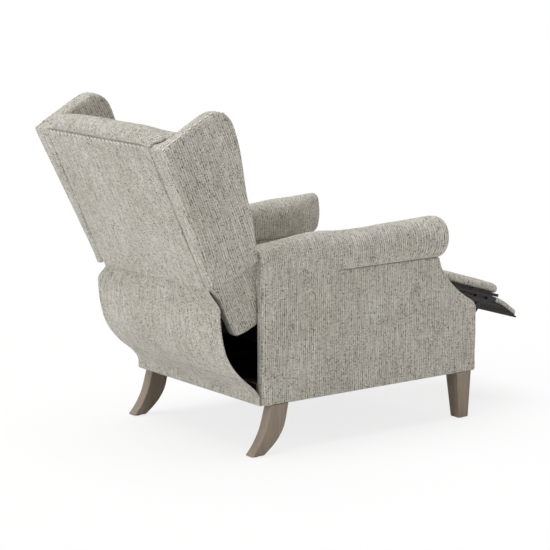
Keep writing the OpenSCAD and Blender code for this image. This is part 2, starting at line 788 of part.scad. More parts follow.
// Inner back cushion: narrow between the arms, wide between the wings
cushion_low_u = -122;
cushion_neck_u = 62;
cushion_high_u = back_high_u;
cushion_arm_gap = 6;
cushion_wing_gap = 7;
cushion_low_x = arm_in_x - cushion_arm_gap;
cushion_high_x = panel_x - cushion_wing_gap;
cushion_middle_share = 0.55;
cushion_crown = 12;
module back_cushion() {
    r = 36;
    right = concat(
        arc([cushion_low_x - r, cushion_low_u + r], r, -90, 0, arc_steps / 2),
        smooth([[cushion_low_x, cushion_neck_u - r], [cushion_low_x + r / 4, cushion_neck_u + r / 2],
            [cushion_high_x - r / 4, cushion_neck_u + r], [cushion_high_x, cushion_neck_u + 2 * r]],
            curve_steps),
        [[cushion_high_x, (cushion_neck_u + cushion_high_u) / 2]],
        arc([cushion_high_x - r, cushion_high_u - r], r, 0, 90, arc_steps / 2));
    plan = concat(right, [[0, cushion_high_u]],
        backwards([for (p = right) [-p.x, p.y]]), [[0, cushion_low_u]]);
    middle = [0, lerp(cushion_low_u, cushion_high_u, cushion_middle_share)];
    color("lightgray") placed() in_back() rotate([90, 0, 0])
        stuffed(plan, middle, function (p) back_d,
            function (p) back_d + back_cushion_t - cushion_crown, cushion_crown);
}

module outer_back_panel() {
    color("silver") placed() back_box(-panel_x, panel_x, 0, panel_t, -panel_drop, panel_top);
}

// Wing: shares of its length up the back and of its depth forwards
wing_front_shares = [[0.995, 0.81], [0.985, 0.885], [0.948, 0.955], [0.885, 0.998],
                     [0.78, 0.993], [0.66, 0.957], [0.54, 0.905], [0.42, 0.855],
                     [0.30, 0.83], [0.15, 0.77], [0.04, 0.715]];
wing_rear_shares = [[0.025, 0], [0.35, 0], [0.65, 0], [0.955, 0], [0.985, 0.025], [1, 0.12],
                    [1, 0.45]];
wing_low_shares = [[0.005, 0.69], [0, 0.45], [0, 0.2], [0.003, 0.02]];
wing_low_u = -8;
wing_crown = 3;
wing_middle_shares = [0.47, 0.52];
wing_plan = [for (q = concat(wing_rear_shares,
        smooth(wing_front_shares, 2), wing_low_shares))
    [-q.y * wing_d, wing_low_u + q.x * wing_l]];
module wing(s) {
    inner = panel_x + soft_gap;
    turn_in = wing_top_out / 4;
    function low(p) = inner + turn_in * min(1, max(-p.x, 0) / panel_t / 3)
        * max(p.y, 0) / wing_l;
    function out(p) = panel_x + lerp(
        lerp(wing_low_out, wing_front_out, max(-p.x, 0) / wing_d),
        wing_top_out, max(p.y - wing_low_u, 0) / wing_l);
    middle = [-wing_d * wing_middle_shares.x, wing_low_u + wing_l * wing_middle_shares.y];
    color("lightgray") placed() on_side(s) in_back() rotate([0, 90, 0]) rotate([0, 0, 90])
        stuffed(wing_plan, middle, function (p) low(p), function (p) out(p) - wing_crown,
            wing_crown);
}

// Lower side cover of the back, between the sides of the chair
fin_gap = 2;
fin_shares = [[0, 0], [0.30, 0], [1, 0.08], [1.04, 0.5], [1.045, 0.92], [1, 1], [0, 1.86]];
module fin(s) {
    v0 = panel_t + soft_gap;
    depth = back_rail_d1 + wing_crown - v0;
    top = wing_low_u - soft_gap;
    outline = [for (q = fin_shares) back_pt(top - q.x * (fin_l + wing_low_u), v0 + q.y * depth)];
    color("silver") placed() on_side(s) plate_x(arm_plane_x1, lining_x - fin_gap, outline);
}

// Rolled top of the back: shares of the depth and of the height of the pad
top_pad_shares = [[0, 0], [0.02, 0.4], [0.12, 0.83], [0.29, 1], [0.5, 0.98], [0.7, 0.82],
                  [0.88, 0.45], [1, -0.1]];
module back_top_pad() {
    depth = back_d + back_cushion_t - cushion_crown;
    edge = smooth([for (q = top_pad_shares)
        back_pt(panel_top + soft_gap + q.y * top_pad_h, q.x * depth)], curve_steps);
    low = back_high_u + soft_gap;
    color("gainsboro") placed() plate_x(-panel_x, panel_x, concat(edge,
        [back_pt(low, depth), back_pt(low, panel_t + soft_gap),
         back_pt(panel_top + soft_gap, panel_t + soft_gap)]));
}

// Steel brackets that carry the back on its pivots
bracket_w = 28;
bracket_v = 60;
bracket_low_u = -110;
bracket_high_u = 40;
bracket_low = back_pt(bracket_low_u, bracket_v);
bracket_high = back_pt(bracket_high_u, bracket_v);
module back_brackets() {
    color("dimgray") placed() both_sides() difference() {
        union() {
            strap_x(arm_plane_x0, arm_plane_x1, link_eye, back_pivot, bracket_w);
            strap_x(arm_plane_x0, arm_plane_x1, back_pivot, bracket_low, bracket_w);
            strap_x(arm_plane_x0, arm_plane_x1, bracket_low, bracket_high, bracket_w);
        }
        rod_x(pin_r + pin_fit, arm_plane_x0 - over, arm_plane_x1 + over, back_pivot);
        for (p = [bracket_low, bracket_high])
            rod_x(bolt_r + pin_fit, arm_plane_x0 - over, arm_plane_x1 + over, p);
    }
}

module bracket_bolts() {
    color("silver") placed() both_sides() for (p = [bracket_low, bracket_high])
        rod_x(bolt_r, arm_plane_x0, arm_plane_x1, p);
}

// Links between the body and the back brackets
link_w = 22;
boss_r = 7;
module drive_links() {
    color("slategray") placed() both_sides() difference() {
        union() {
            strap_x(rod_plane_x0, rod_plane_x1, link_base, link_eye, link_w);
            rod_x(boss_r, rod_plane_x0 - pin_head_t, rod_plane_x1 + side_gap / 2, link_eye);
        }
        rod_x(small_pin_r + pin_fit, rod_plane_x0 - over, rod_plane_x1 + over, link_base);
    }
}

// Footrest
pad_back = 45;
board_back = 40;
board_s1 = 190;
module footrest_board() {
    color("burlywood") placed()
        foot_box(-foot_x, foot_x, -board_back, board_s1, -board_low, board_t - board_low);
}

foot_crown = 5;
module footrest_pad() {
    low = board_t - board_low + soft_gap;
    middle = [0, -(foot_l / 2 - pad_back)];
    plan = [for (p = soft_plan(foot_x, foot_l / 2)) middle + p];
    color("lightgray") placed() in_foot() stuffed(plan, middle, function (p) low,
        function (p) foot_top - foot_crown, foot_crown);
}

foot_tube_r = 8;
foot_tube_s = -22;
foot_tube = foot_pt(foot_tube_s, -board_low - foot_tube_r);
arm_w_foot = 24;
module footrest_arms() {
    color("dimgray") placed() both_sides() difference() {
        strap_x(arm_plane_x0, arm_plane_x1, foot_pivot, foot_tube, arm_w_foot);
        rod_x(pin_r + pin_fit, arm_plane_x0 - over, arm_plane_x1 + over, foot_pivot);
    }
}

module footrest_tube() {
    color("dimgray") placed() rod_x(foot_tube_r, -arm_plane_x0, arm_plane_x0, foot_tube);
}

// Slotted plates under the board that guide the second pad
slide_plate_t = 4;
slide_plate_h = 21;
slot_low = -34;
slot_r = 4;
slot_fit = 0.1;
rail_pin_s = [104, 150];
slide_start = 8;
slide_end = 165;
module slide_plates() {
    x0 = foot_x - slide_plate_t;
    color("dimgray") placed() both_sides() in_foot() difference() {
        box([x0, -slide_end, -board_low - slide_plate_h], [foot_x, slide_start, -board_low]);
        for (s = [rail_pin_s[0] - lip_travel, rail_pin_s[1]])
            translate([x0 - over, -s, slot_low]) rotate([0, 90, 0])
                cylinder(r = slot_r + slot_fit, h = slide_plate_t + 2 * over);
        box([x0 - over, -rail_pin_s[1], slot_low - slot_r - slot_fit],
            [foot_x + over, lip_travel - rail_pin_s[0], slot_low + slot_r + slot_fit]);
    }
}

// Second pad: points along its middle line, as shares of its length and of its droop
lip_s0 = 100;
lip_droop = 27;
lip_side_in = 10;
lip_x = foot_x - lip_side_in;
lip_shares = [[0, 0], [0.25, 0], [0.48, 0], [0.68, 0.22], [0.86, 0.66], [1, 1]];
lip_gap = 0.8;
function lip_line(n0) = smooth([for (q = lip_shares)
    [-(lip_s0 + q.x * lip_l), n0 - q.y * lip_droop]], curve_steps);
lip_mid = lip_line(-board_low - lip_gap - lip_t / 2);
module lip_pad() {
    half = lip_t / 2;
    nose = lip_mid[len(lip_mid) - 1];
    color("lightgray") placed() in_foot() {
        plate_x(-lip_x, lip_x, concat(aside(lip_mid, half), backwards(aside(lip_mid, -half))));
        rod_x(half, -lip_x, lip_x, nose);
    }
}

lip_board_t = 4;
module lip_board() {
    low = lip_t / 2;
    upper = aside(lip_mid, low);
    lower = aside(lip_mid, low + lip_board_t);
    color([0.15, 0.15, 0.15]) placed() in_foot()
        plate_x(-lip_x, lip_x, concat(upper, backwards(lower)));
}

lip_rail_t = 4;
lip_rail_h = 14;
module lip_rails() {
    color("dimgray") placed() both_sides() in_foot() {
        box([lip_x, -board_s1, slot_low - lip_rail_h / 2],
            [lip_x + lip_rail_t, -lip_s0, slot_low + lip_rail_h / 2]);
        for (s = rail_pin_s) rod_x(slot_r, lip_x + lip_rail_t, foot_x, [-s, slot_low]);
    }
}

bar_r = 6;
bar_lug_x = 180;
bar_lug_t = 6;
bar_lug_w = 20;
module lip_bar() {
    low = -board_low - lip_gap - lip_t - lip_board_t;
    color("dimgray") placed() in_foot() {
        rod_x(bar_r, -rod_plane_x0 + side_gap, rod_plane_x0 - side_gap, [-bar_s, bar_low]);
        both_sides() box([bar_lug_x, -bar_s - bar_lug_w / 2, bar_low],
            [bar_lug_x + bar_lug_t, -bar_s + bar_lug_w / 2, low]);
    }
}

rod_w = 18;
module push_rods() {
    color("slategray") placed() both_sides() difference() {
        strap_x(rod_plane_x0, rod_plane_x1, rod_base, rod_tip, rod_w);
        rod_x(small_pin_r + pin_fit, rod_plane_x0 - over, rod_plane_x1 + over, rod_base);
    }
}

// Middle of the chair's depth, from the tip of the second pad to the top of the back
back_reach = max([for (q = smooth(top_pad_shares, curve_steps))
    back_pt(panel_top + soft_gap + q.y * top_pad_h,
        q.x * (back_d + back_cushion_t - cushion_crown)).x]);
lip_nose = lip_mid[len(lip_mid) - 1];
lip_reach = min([for (p = concat(arc(lip_nose, lip_t / 2, 90, 270, 4 * arc_steps),
        aside(lip_mid, lip_t / 2 + lip_board_t)))
    foot_pt(-p.x, p.y).x]);
middle_y = -(back_reach + lip_reach) / 2;

echo(middle_y = middle_y, back_pivot = back_pivot, link_base = link_base, link_eye = link_eye,
    link_eye_up = link_eye_up, foot_pivot = foot_pivot, rod_base = rod_base, rod_tip = rod_tip,
    rod_tip_in = rod_tip_in);

side_frame(-1);  // side_frame_left
side_frame(1);  // side_frame_right
side_panel(-1);  // side_panel_left
side_panel(1);  // side_panel_right
arm_roll(-1);  // arm_roll_left
arm_roll(1);  // arm_roll_right
arm_inner_pads();
side_linings();
front_leg(-1);  // front_leg_left
front_leg(1);  // front_leg_right
rear_leg(-1);  // rear_leg_left
rear_leg(1);  // rear_leg_right
leg_glides();
leg_bolts();
front_rail();
rear_rail();
corner_blocks();
guide_channels();
link_brackets();
link_pins();
tail_panel();
carriage_plate(-1);  // carriage_plate_left
carriage_plate(1);  // carriage_plate_right
runners();
carriage_tubes();
seat_mounts();
seat_side_rails();
seat_front_rail();
seat_rear_rail();
seat_springs();
seat_cushion();
back_pivot_pins();
footrest_pins();
rod_pins();
back_side_rails();
back_top_rail();
back_bottom_rail();
back_springs();
back_cushion();
outer_back_panel();
wing(-1);  // wing_left
wing(1);  // wing_right
fin(-1);  // fin_left
fin(1);  // fin_right
back_top_pad();
back_brackets();
bracket_bolts();
drive_links();
footrest_board();
footrest_pad();
footrest_arms();
footrest_tube();
slide_plates();
lip_board();
lip_pad();
lip_rails();
lip_bar();
push_rods();
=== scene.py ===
# %% [markdown]
# # Dressing a wing chair that leans back
#
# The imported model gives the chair's bones: wooden frames, steel plates, pins and the plain
# blocks that hold the room of every stuffed part. This lesson puts the upholstery on them.
# Everything shares one frame: metres, +Z up, the chair faces -Y, and the middle of the
# footprint is the origin. The sizes below are written in millimetres as an upholsterer would
# say them, with depths counted from the rear feet, and `to_frame` turns them into the frame.

# %% Load the fixed model
import math

import bpy
import numpy as np
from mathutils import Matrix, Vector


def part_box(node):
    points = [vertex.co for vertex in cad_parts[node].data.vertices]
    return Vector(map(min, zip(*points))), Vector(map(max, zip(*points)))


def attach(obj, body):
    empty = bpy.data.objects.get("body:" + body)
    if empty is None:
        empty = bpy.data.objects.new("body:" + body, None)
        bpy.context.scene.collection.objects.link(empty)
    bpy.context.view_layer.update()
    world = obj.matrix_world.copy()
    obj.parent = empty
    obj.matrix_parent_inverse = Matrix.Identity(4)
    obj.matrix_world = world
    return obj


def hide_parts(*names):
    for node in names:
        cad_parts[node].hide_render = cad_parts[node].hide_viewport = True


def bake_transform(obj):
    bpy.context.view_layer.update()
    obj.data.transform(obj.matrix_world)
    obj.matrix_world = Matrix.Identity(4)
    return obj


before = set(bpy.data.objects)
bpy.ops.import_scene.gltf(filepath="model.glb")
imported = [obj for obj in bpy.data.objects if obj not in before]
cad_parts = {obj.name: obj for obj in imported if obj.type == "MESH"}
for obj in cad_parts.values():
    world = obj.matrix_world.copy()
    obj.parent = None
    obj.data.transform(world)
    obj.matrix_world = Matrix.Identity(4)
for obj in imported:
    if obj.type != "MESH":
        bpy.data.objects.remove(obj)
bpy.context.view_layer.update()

# %% [markdown]
# ## The camera
#
# The photograph was taken from behind the chair, on its left, a little above the arms. The
# place and the long lens come from a camera fitted to the feet, the sides and the back, so
# the same chair seen from there falls on the same pixels.

# %% Camera
IMAGE_SIDE = 550
FOCAL_PIXELS = 2225.18
CAMERA_PLACE = (-5.2782, 3.9881, 1.6495)
CAMERA_YAW = 0.6380
CAMERA_PITCH = 0.1808
SENSOR = 36.0

camera_data = bpy.data.cameras.new("camera")
camera = bpy.data.objects.new("camera", camera_data)
bpy.context.scene.collection.objects.link(camera)
bpy.context.scene.camera = camera
camera_data.sensor_width = SENSOR
camera_data.lens = FOCAL_PIXELS / IMAGE_SIDE * SENSOR
camera_data.clip_end = 300.0
camera.location = CAMERA_PLACE
camera.rotation_euler = (math.pi / 2 - CAMERA_PITCH, 0.0, -math.pi / 2 - CAMERA_YAW)
print("lens", round(camera_data.lens, 2), "mm")

# %% [markdown]
# ## Helpers for shapes
#
# A shape here is a grid of points: rows along a path, columns across or around it. numpy
# works the whole grid out at once, and `shell` turns it into faces. Rings can be closed by a
# tip point at either end, so a stuffed part becomes one closed skin.

# %% From an upholsterer's millimetres to the frame
DEPTH_SHIFT = 395.795
LEAN = math.radians(24.5)
BACK_FOOT = np.array([122.0, 503.0])
PAD_SLOPE = math.radians(17.0)
PAD_ROOT = np.array([-826.0, 418.0])


def to_frame(p):
    """Millimetres from the rear feet to metres in the frame: shift the depth, divide by 1000."""
    return (np.asarray(p, float) + [0.0, DEPTH_SHIFT, 0.0]) / 1000.0


def on_back(x, u, v):
    """A point of the leaned back: u up along it and v forwards from its rear face."""
    x, u, v = np.broadcast_arrays(x, u, v)
    y = BACK_FOOT[0] + u * math.sin(LEAN) - v * math.cos(LEAN)
    z = BACK_FOOT[1] + u * math.cos(LEAN) + v * math.sin(LEAN)
    return np.stack([x, y, z], -1)


def on_pad(x, s, n):
    """A point of the footrest: s outwards along it and n square to it, upwards."""
    x, s, n = np.broadcast_arrays(x, s, n)
    y = PAD_ROOT[0] - s * math.cos(PAD_SLOPE) - n * math.sin(PAD_SLOPE)
    z = PAD_ROOT[1] - s * math.sin(PAD_SLOPE) + n * math.cos(PAD_SLOPE)
    return np.stack([x, y, z], -1)


def ease(t):
    """0 before 0, 1 after 1, and 3t^2 - 2t^3 in between."""
    t = np.clip(t, 0.0, 1.0)
    return t * t * (3.0 - 2.0 * t)


def mix(a, b, t):
    """a + (b - a) t."""
    return a + (b - a) * t


# %% Smooth curves
def curve(points, count, closed=False):
    """A smooth curve through the points (Catmull-Rom: each stretch is a cubic whose slope at
    a point is half the step between its neighbours), then spaced evenly by length."""
    p = np.asarray(points, float)
    fine = 24
    if closed:
        a, b, c, d = (np.roll(p, k, 0) for k in (1, 0, -1, -2))
    else:
        q = np.vstack([p[:1], p, p[-1:]])
        a, b, c, d = q[:-3], q[1:-2], q[2:-1], q[3:]
    t = (np.arange(fine) / fine)[None, :, None]
    a, b, c, d = (k[:, None, :] for k in (a, b, c, d))
    w = 0.5 * (2 * b + (c - a) * t + (2 * a - 5 * b + 4 * c - d) * t**2
               + (3 * b - a - 3 * c + d) * t**3)
    w = np.vstack([w.reshape(-1, p.shape[1]), p[:1] if closed else p[-1:]])
    length = np.concatenate([[0.0], np.cumsum(np.linalg.norm(np.diff(w, axis=0), axis=1))])
    at = np.linspace(0.0, length[-1], count, endpoint=not closed)
    return np.stack([np.interp(at, length, w[:, k]) for k in range(p.shape[1])], -1)


def normals_2d(p, closed=True):
    """Unit normals of a plane curve, to the left of its direction."""
    if closed:
        step = np.roll(p, -1, 0) - np.roll(p, 1, 0)
    else:
        step = np.gradient(p, axis=0)
    step /= np.linalg.norm(step, axis=1)[:, None] + 1e-12
    return np.stack([-step[:, 1], step[:, 0]], -1)


# %% Faces
def shell(p, around=False, tips=(None, None), zip_ends=False):
    """Faces over a grid of points (rows, columns, 3). around joins the last column to the
    first; tips close the first and last ring with a fan; zip_ends closes the end rings of a
    thin sheet by joining its front half to its rear half. Returns (points, faces)."""
    rows, cols = p.shape[:2]
    index = np.arange(rows * cols).reshape(rows, cols)
    if around:
        index = np.hstack([index, index[:, :1]])
    a, b, c, d = index[:-1, :-1], index[:-1, 1:], index[1:, 1:], index[1:, :-1]
    faces = [np.stack([a, b, c, d], -1).reshape(-1, 4)]
    points = p.reshape(-1, 3)
    for end, tip in zip((0, -1), tips):
        if tip is None:
            continue
        ring = index[end]
        hub = np.full(len(ring) - 1, len(points))
        points = np.vstack([points, np.asarray(tip, float)[None]])
        fan = [hub, ring[1:], ring[:-1]] if end == 0 else [hub, ring[:-1], ring[1:]]
        faces.append(np.stack(fan, -1))
    if zip_ends:
        half = cols // 2
        k = np.arange(half - 1)
        for end in (0, -1):
            ring = index[end]
            quad = [ring[k], ring[2 * half - 1 - k], ring[2 * half - 2 - k], ring[k + 1]]
            faces.append(np.stack(quad if end == 0 else quad[::-1], -1))
    return points, faces


def signed_volume(points, faces):
    """The volume inside the faces: the sum of the tetrahedra from the origin to each."""
    total = 0.0
    for f in faces:
        for k in range(1, f.shape[1] - 1):
            a, b, c = points[f[:, 0]], points[f[:, k]], points[f[:, k + 1]]
            total += np.einsum("ij,ij->i", a, np.cross(b, c)).sum() / 6.0
    return total


def piece(name, shells, material):
    """One object from shells in millimetres. Each closed shell is turned to face outwards."""
    verts, polys, start = [], [], 0
    for points, faces in shells:
        if signed_volume(points, faces) < 0:
            faces = [f[:, ::-1] for f in faces]
        verts.append(points)
        for f in faces:
            polys.extend((f + start).tolist())
        start += len(points)
    mesh = bpy.data.meshes.new(name)
    mesh.from_pydata(to_frame(np.vstack(verts)).tolist(), [], polys)
    mesh.polygons.foreach_set("use_smooth", np.ones(len(polys), bool))
    mesh.materials.append(material)
    mesh.update()
    obj = bpy.data.objects.new(name, mesh)
    bpy.context.scene.collection.objects.link(obj)
    return obj


def coordinates(obj):
    """All of a mesh's points as one array, in metres."""
    co = np.empty(len(obj.data.vertices) * 3)
    obj.data.vertices.foreach_get("co", co)
    return co.reshape(-1, 3)


def set_coordinates(obj, co):
    """Puts the points back into the mesh."""
    obj.data.vertices.foreach_set("co", np.ascontiguousarray(co).ravel())
    obj.data.update()


def measure(obj):
    """Prints a piece's size in millimetres and its face count."""
    co = coordinates(obj)
    size = (co.max(0) - co.min(0)) * 1000
    print(f"{obj.name}: {size.round().astype(int).tolist()} mm, {len(obj.data.polygons)} faces")
    return obj


# %% [markdown]
# ## Cloth coordinates
#
# A weave has a size: its yarns are some three millimetres wide wherever they lie. So each
# stuffed piece gets a map in metres, laid on it from the side it faces, in the frame that
# it leans with. The warp runs up the sides and the back, as an upholsterer cuts it.

# %% Lay the cloth
def lay_cloth(obj, lean=0.0):
    """Map in metres: a face that looks sideways takes (depth, height), one that looks fore
    or aft takes (width, height), and one that looks up takes (width, depth), after the
    points are leaned forward by the lean, so that height runs along the back."""
    mesh = obj.data
    co = coordinates(obj)
    turn = np.array([[1, 0, 0], [0, math.cos(lean), -math.sin(lean)],
                     [0, math.sin(lean), math.cos(lean)]])
    co = co @ turn.T
    count = len(mesh.polygons)
    normal = np.empty(count * 3)
    mesh.polygons.foreach_get("normal", normal)
    normal = np.abs(normal.reshape(-1, 3) @ turn.T)
    sides = np.empty(count, int)
    mesh.polygons.foreach_get("loop_total", sides)
    corner = np.empty(len(mesh.loops), int)
    mesh.loops.foreach_get("vertex_index", corner)
    facing = np.repeat(normal.argmax(1), sides)
    p = co[corner]
    uv = np.where(facing[:, None] == 0, p[:, [1, 2]],
                  np.where(facing[:, None] == 1, p[:, [0, 2]], p[:, [0, 1]]))
    layer = mesh.uv_layers.get("cloth") or mesh.uv_layers.new(name="cloth")
    layer.data.foreach_set("uv", uv.ravel())
    return obj


# %% [markdown]
# ## Finishes
#
# The cover is a heathered tweed: cream and stone grey yarns cross at right angles, and dark
# flecks stand in short strings along the warp. An image of cloth would repeat and blur, so
# the weave is worked out instead. Rounding the cloth map down numbers the warp ends and the
# weft picks, noise along a yarn gives its colour, one random number per crossing picks the
# flecks, and two crossed waves lift warp and weft by turns as a plain weave does. The same
# waves also paint shade into the colour where the yarns lie low, and highlight where they rise.

# %% Node helper
def node(tree, kind, settings=None, **inputs):
    """One shader node: settings are its own choices, inputs are numbers, colours or the
    sockets to link. A trailing number, as in a0, picks the socket by its place."""
    made = tree.nodes.new(kind)
    for key, value in (settings or {}).items():
        setattr(made, key, value)
    for key, value in inputs.items():
        if key[0] == "a" and key[1:].isdigit():
            socket = made.inputs[int(key[1:])]
        else:
            socket = made.inputs[key.replace("_", " ")]
        if isinstance(value, bpy.types.NodeSocket):
            tree.links.new(value, socket)
        else:
            socket.default_value = value
    return made


def fresh_material(name):
    """A new material with its surface shader and output."""
    material = bpy.data.materials.new(name)
    material.use_nodes = True
    tree = material.node_tree
    tree.nodes.clear()
    shader = node(tree, "ShaderNodeBsdfPrincipled")
    node(tree, "ShaderNodeOutputMaterial", Surface=shader.outputs[0])
    return material, tree, shader


def maths(tree, what, a, b=0.0, c=0.0):
    """One sum of up to three values."""
    return node(tree, "ShaderNodeMath", {"operation": what}, a0=a, a1=b, a2=c).outputs[0]


def ramp(tree, value, stops):
    """Colours along a value."""
    made = node(tree, "ShaderNodeValToRGB", None, Fac=value)
    points = made.color_ramp.elements
    while len(points) < len(stops):
        points.new(0.5)
    for element, (place, colour) in zip(points, stops):
        element.position = place
        element.color = (*colour, 1.0)
    return made.outputs["Color"]


def blended(tree, how, amount, a, b):
    """Two colours mixed."""
    made = node(tree, "ShaderNodeMix", {"data_type": "RGBA", "blend_type": how})
    for socket, value in ((made.inputs[0], amount), (made.inputs[6], a), (made.inputs[7], b)):
        if isinstance(value, bpy.types.NodeSocket):
            tree.links.new(value, socket)
        elif isinstance(value, tuple):
            socket.default_value = (*value, 1.0)
        else:
            socket.default_value = value
    return made.outputs[2]


# %% Tweed
# Widths and lengths of the yarns and of their changes, in metres.
END_WIDTH, PICK_WIDTH = 0.0035, 0.0027
STREAK_LENGTH, STRING_LENGTH = 0.055, 0.016
YARN_DRIFT = 0.0060
CREAM = (0.605, 0.576, 0.525)
STONE = (0.42, 0.398, 0.352)
PEBBLE = (0.085, 0.079, 0.062)
FLECK_SHARE, FLECK_DEPTH = 0.21, 0.62


def tweed(name):
    """Plain weave on the piece's cloth map. The warp ends and weft picks are counted by
    rounding the map down. Each end has its own tone, which drifts along it, every second end
    lies lower, and a cell where an end crosses a pick is a dark fleck when its random number
    is below a share that rises and falls along the end, so flecks stand in short strings.
    The colour also carries painted shade where the weave lies low and painted highlight where it
    rises."""
    material, tree, shader = fresh_material(name)
    cloth = node(tree, "ShaderNodeUVMap", {"uv_map": "cloth"}).outputs[0]
    drift = node(tree, "ShaderNodeTexNoise", {"noise_dimensions": "2D"}, Vector=cloth,
                 Scale=9.0, Detail=1.0)
    wander = node(tree, "ShaderNodeVectorMath", {"operation": "SCALE"},
                  a0=drift.outputs["Color"], Scale=YARN_DRIFT)
    place = node(tree, "ShaderNodeVectorMath", {"operation": "ADD"}, a0=cloth,
                 a1=wander.outputs[0]).outputs[0]
    axes = node(tree, "ShaderNodeSeparateXYZ", None, Vector=place)
    end = maths(tree, "FLOOR", maths(tree, "DIVIDE", axes.outputs[0], END_WIDTH))
    pick = maths(tree, "FLOOR", maths(tree, "DIVIDE", axes.outputs[1], PICK_WIDTH))

    def noise_along(yarn, run, length, seed, detail=0.0):
        """Noise that is new for every yarn and changes over the length along it."""
        at = node(tree, "ShaderNodeCombineXYZ", None, X=maths(tree, "MULTIPLY", yarn, 1.73),
                  Y=maths(tree, "DIVIDE", run, length), Z=seed)
        return node(tree, "ShaderNodeTexNoise", {"noise_dimensions": "3D"},
                    Vector=at.outputs[0], Scale=1.0, Detail=detail).outputs["Fac"]

    cell = node(tree, "ShaderNodeCombineXYZ", None, X=end, Y=pick, Z=0.0)
    chance = node(tree, "ShaderNodeTexWhiteNoise", {"noise_dimensions": "2D"},
                  Vector=cell.outputs[0])
    streak = noise_along(end, axes.outputs[1], STREAK_LENGTH, 1.7, 1.0)
    weft = noise_along(pick, axes.outputs[0], STREAK_LENGTH * 0.5, 5.1, 1.0)
    string = noise_along(end, axes.outputs[1], STRING_LENGTH, 9.3)
    across_yarn, along_yarn = (
        maths(tree, "SINE", maths(tree, "MULTIPLY", axis, math.pi / width))
        for axis, width in zip(axes.outputs, (END_WIDTH, PICK_WIDTH)))
    over = maths(tree, "MULTIPLY", across_yarn, along_yarn)
    shade = node(tree, "ShaderNodeTexNoise", {"noise_dimensions": "2D"}, Vector=cloth,
                 Scale=7.0, Detail=1.0).outputs["Fac"]
    mixed = maths(tree, "ADD", maths(tree, "MULTIPLY", streak, 0.6),
                  maths(tree, "MULTIPLY", weft, 0.4))
    colour = ramp(tree, mixed, [(0.36, STONE), (0.62, CREAM)])
    grain = node(tree, "ShaderNodeMapRange", None, Value=chance.outputs["Value"], To_Min=0.83,
                 To_Max=1.17)
    colour = blended(tree, "MULTIPLY", 1.0, colour, grain.outputs[0])
    ribs = maths(tree, "ADD", maths(tree, "MULTIPLY", across_yarn, 0.7),
                 maths(tree, "MULTIPLY", over, 0.7))
    # Painted shade and highlight: the colour is darker where the weave lies low and lighter
    # where it rises, by the same height as the bump.
    painted_weave_shade = node(tree, "ShaderNodeMapRange", None, Value=ribs, From_Min=-1.0, From_Max=1.0,
                    To_Min=0.74, To_Max=1.25)
    colour = blended(tree, "MULTIPLY", 1.0, colour, painted_weave_shade.outputs[0])
    low = node(tree, "ShaderNodeMapRange", None, Value=across_yarn, From_Min=0.2,
               From_Max=-0.4, To_Min=0.35, To_Max=1.6)
    share = maths(tree, "MULTIPLY", maths(tree, "MULTIPLY_ADD", string, 4.0, -1.5),
                  low.outputs[0])
    limit = maths(tree, "MULTIPLY", share, FLECK_SHARE)
    fleck = maths(tree, "LESS_THAN", chance.outputs["Value"], limit)
    colour = blended(tree, "MIX", maths(tree, "MULTIPLY", fleck, FLECK_DEPTH), colour, PEBBLE)
    large = ramp(tree, shade, [(0.3, (0.95, 0.945, 0.93)), (0.7, (1.04, 1.04, 1.04))])
    colour = blended(tree, "MULTIPLY", 1.0, colour, large)
    tree.links.new(colour, shader.inputs["Base Color"])
    height = maths(tree, "SUBTRACT", ribs, fleck)
    bump = node(tree, "ShaderNodeBump", None, Height=height, Strength=0.35, Distance=0.0008)
    tree.links.new(bump.outputs[0], shader.inputs["Normal"])
    shader.inputs["Roughness"].default_value = 0.92
    shader.inputs["Sheen Weight"].default_value = 0.10
    shader.inputs["Sheen Roughness"].default_value = 0.5
    shader.inputs["Specular IOR Level"].default_value = 0.18
    return material


COVER = tweed("tweed_cover")

# %% [markdown]
# The seam thread is a pale twisted polyester, the linings are thin black cloth, and the legs
# are a greyed taupe stain over a fine straight grain that runs down the leg.


# %% Thread, lining, wood and steel
def thread():
    """Pale sewing thread, a little glossy."""
    material, tree, shader = fresh_material("seam_thread")
    place = node(tree, "ShaderNodeTexCoord").outputs["Object"]
    noise = node(tree, "ShaderNodeTexNoise", None, Vector=place, Scale=420.0, Detail=2.0)
    colour = ramp(tree, noise.outputs["Fac"], [(0.3, (0.74, 0.72, 0.68)),
                                               (0.7, (0.90, 0.88, 0.84))])
    tree.links.new(colour, shader.inputs["Base Color"])
    shader.inputs["Roughness"].default_value = 0.6
    return material


def black_cloth():
    """Thin black lining with a faint weave; also painted shade on inner rails and sheets."""
    material, tree, shader = fresh_material("black_lining_and_shade")
    place = node(tree, "ShaderNodeTexCoord").outputs["Object"]
    noise = node(tree, "ShaderNodeTexNoise", None, Vector=place, Scale=900.0, Detail=2.0)
    soft = node(tree, "ShaderNodeTexNoise", None, Vector=place, Scale=9.0, Detail=2.0)
    grain = maths(tree, "ADD", noise.outputs["Fac"], soft.outputs["Fac"])
    colour = ramp(tree, grain, [(0.35, (0.004, 0.004, 0.004)), (0.75, (0.016, 0.016, 0.017))])
    tree.links.new(colour, shader.inputs["Base Color"])
    bump = node(tree, "ShaderNodeBump", None, Height=noise.outputs["Fac"], Strength=0.3,
                Distance=0.0006)
    tree.links.new(bump.outputs[0], shader.inputs["Normal"])
    shader.inputs["Roughness"].default_value = 0.95
    shader.inputs["Specular IOR Level"].default_value = 0.1
    return material


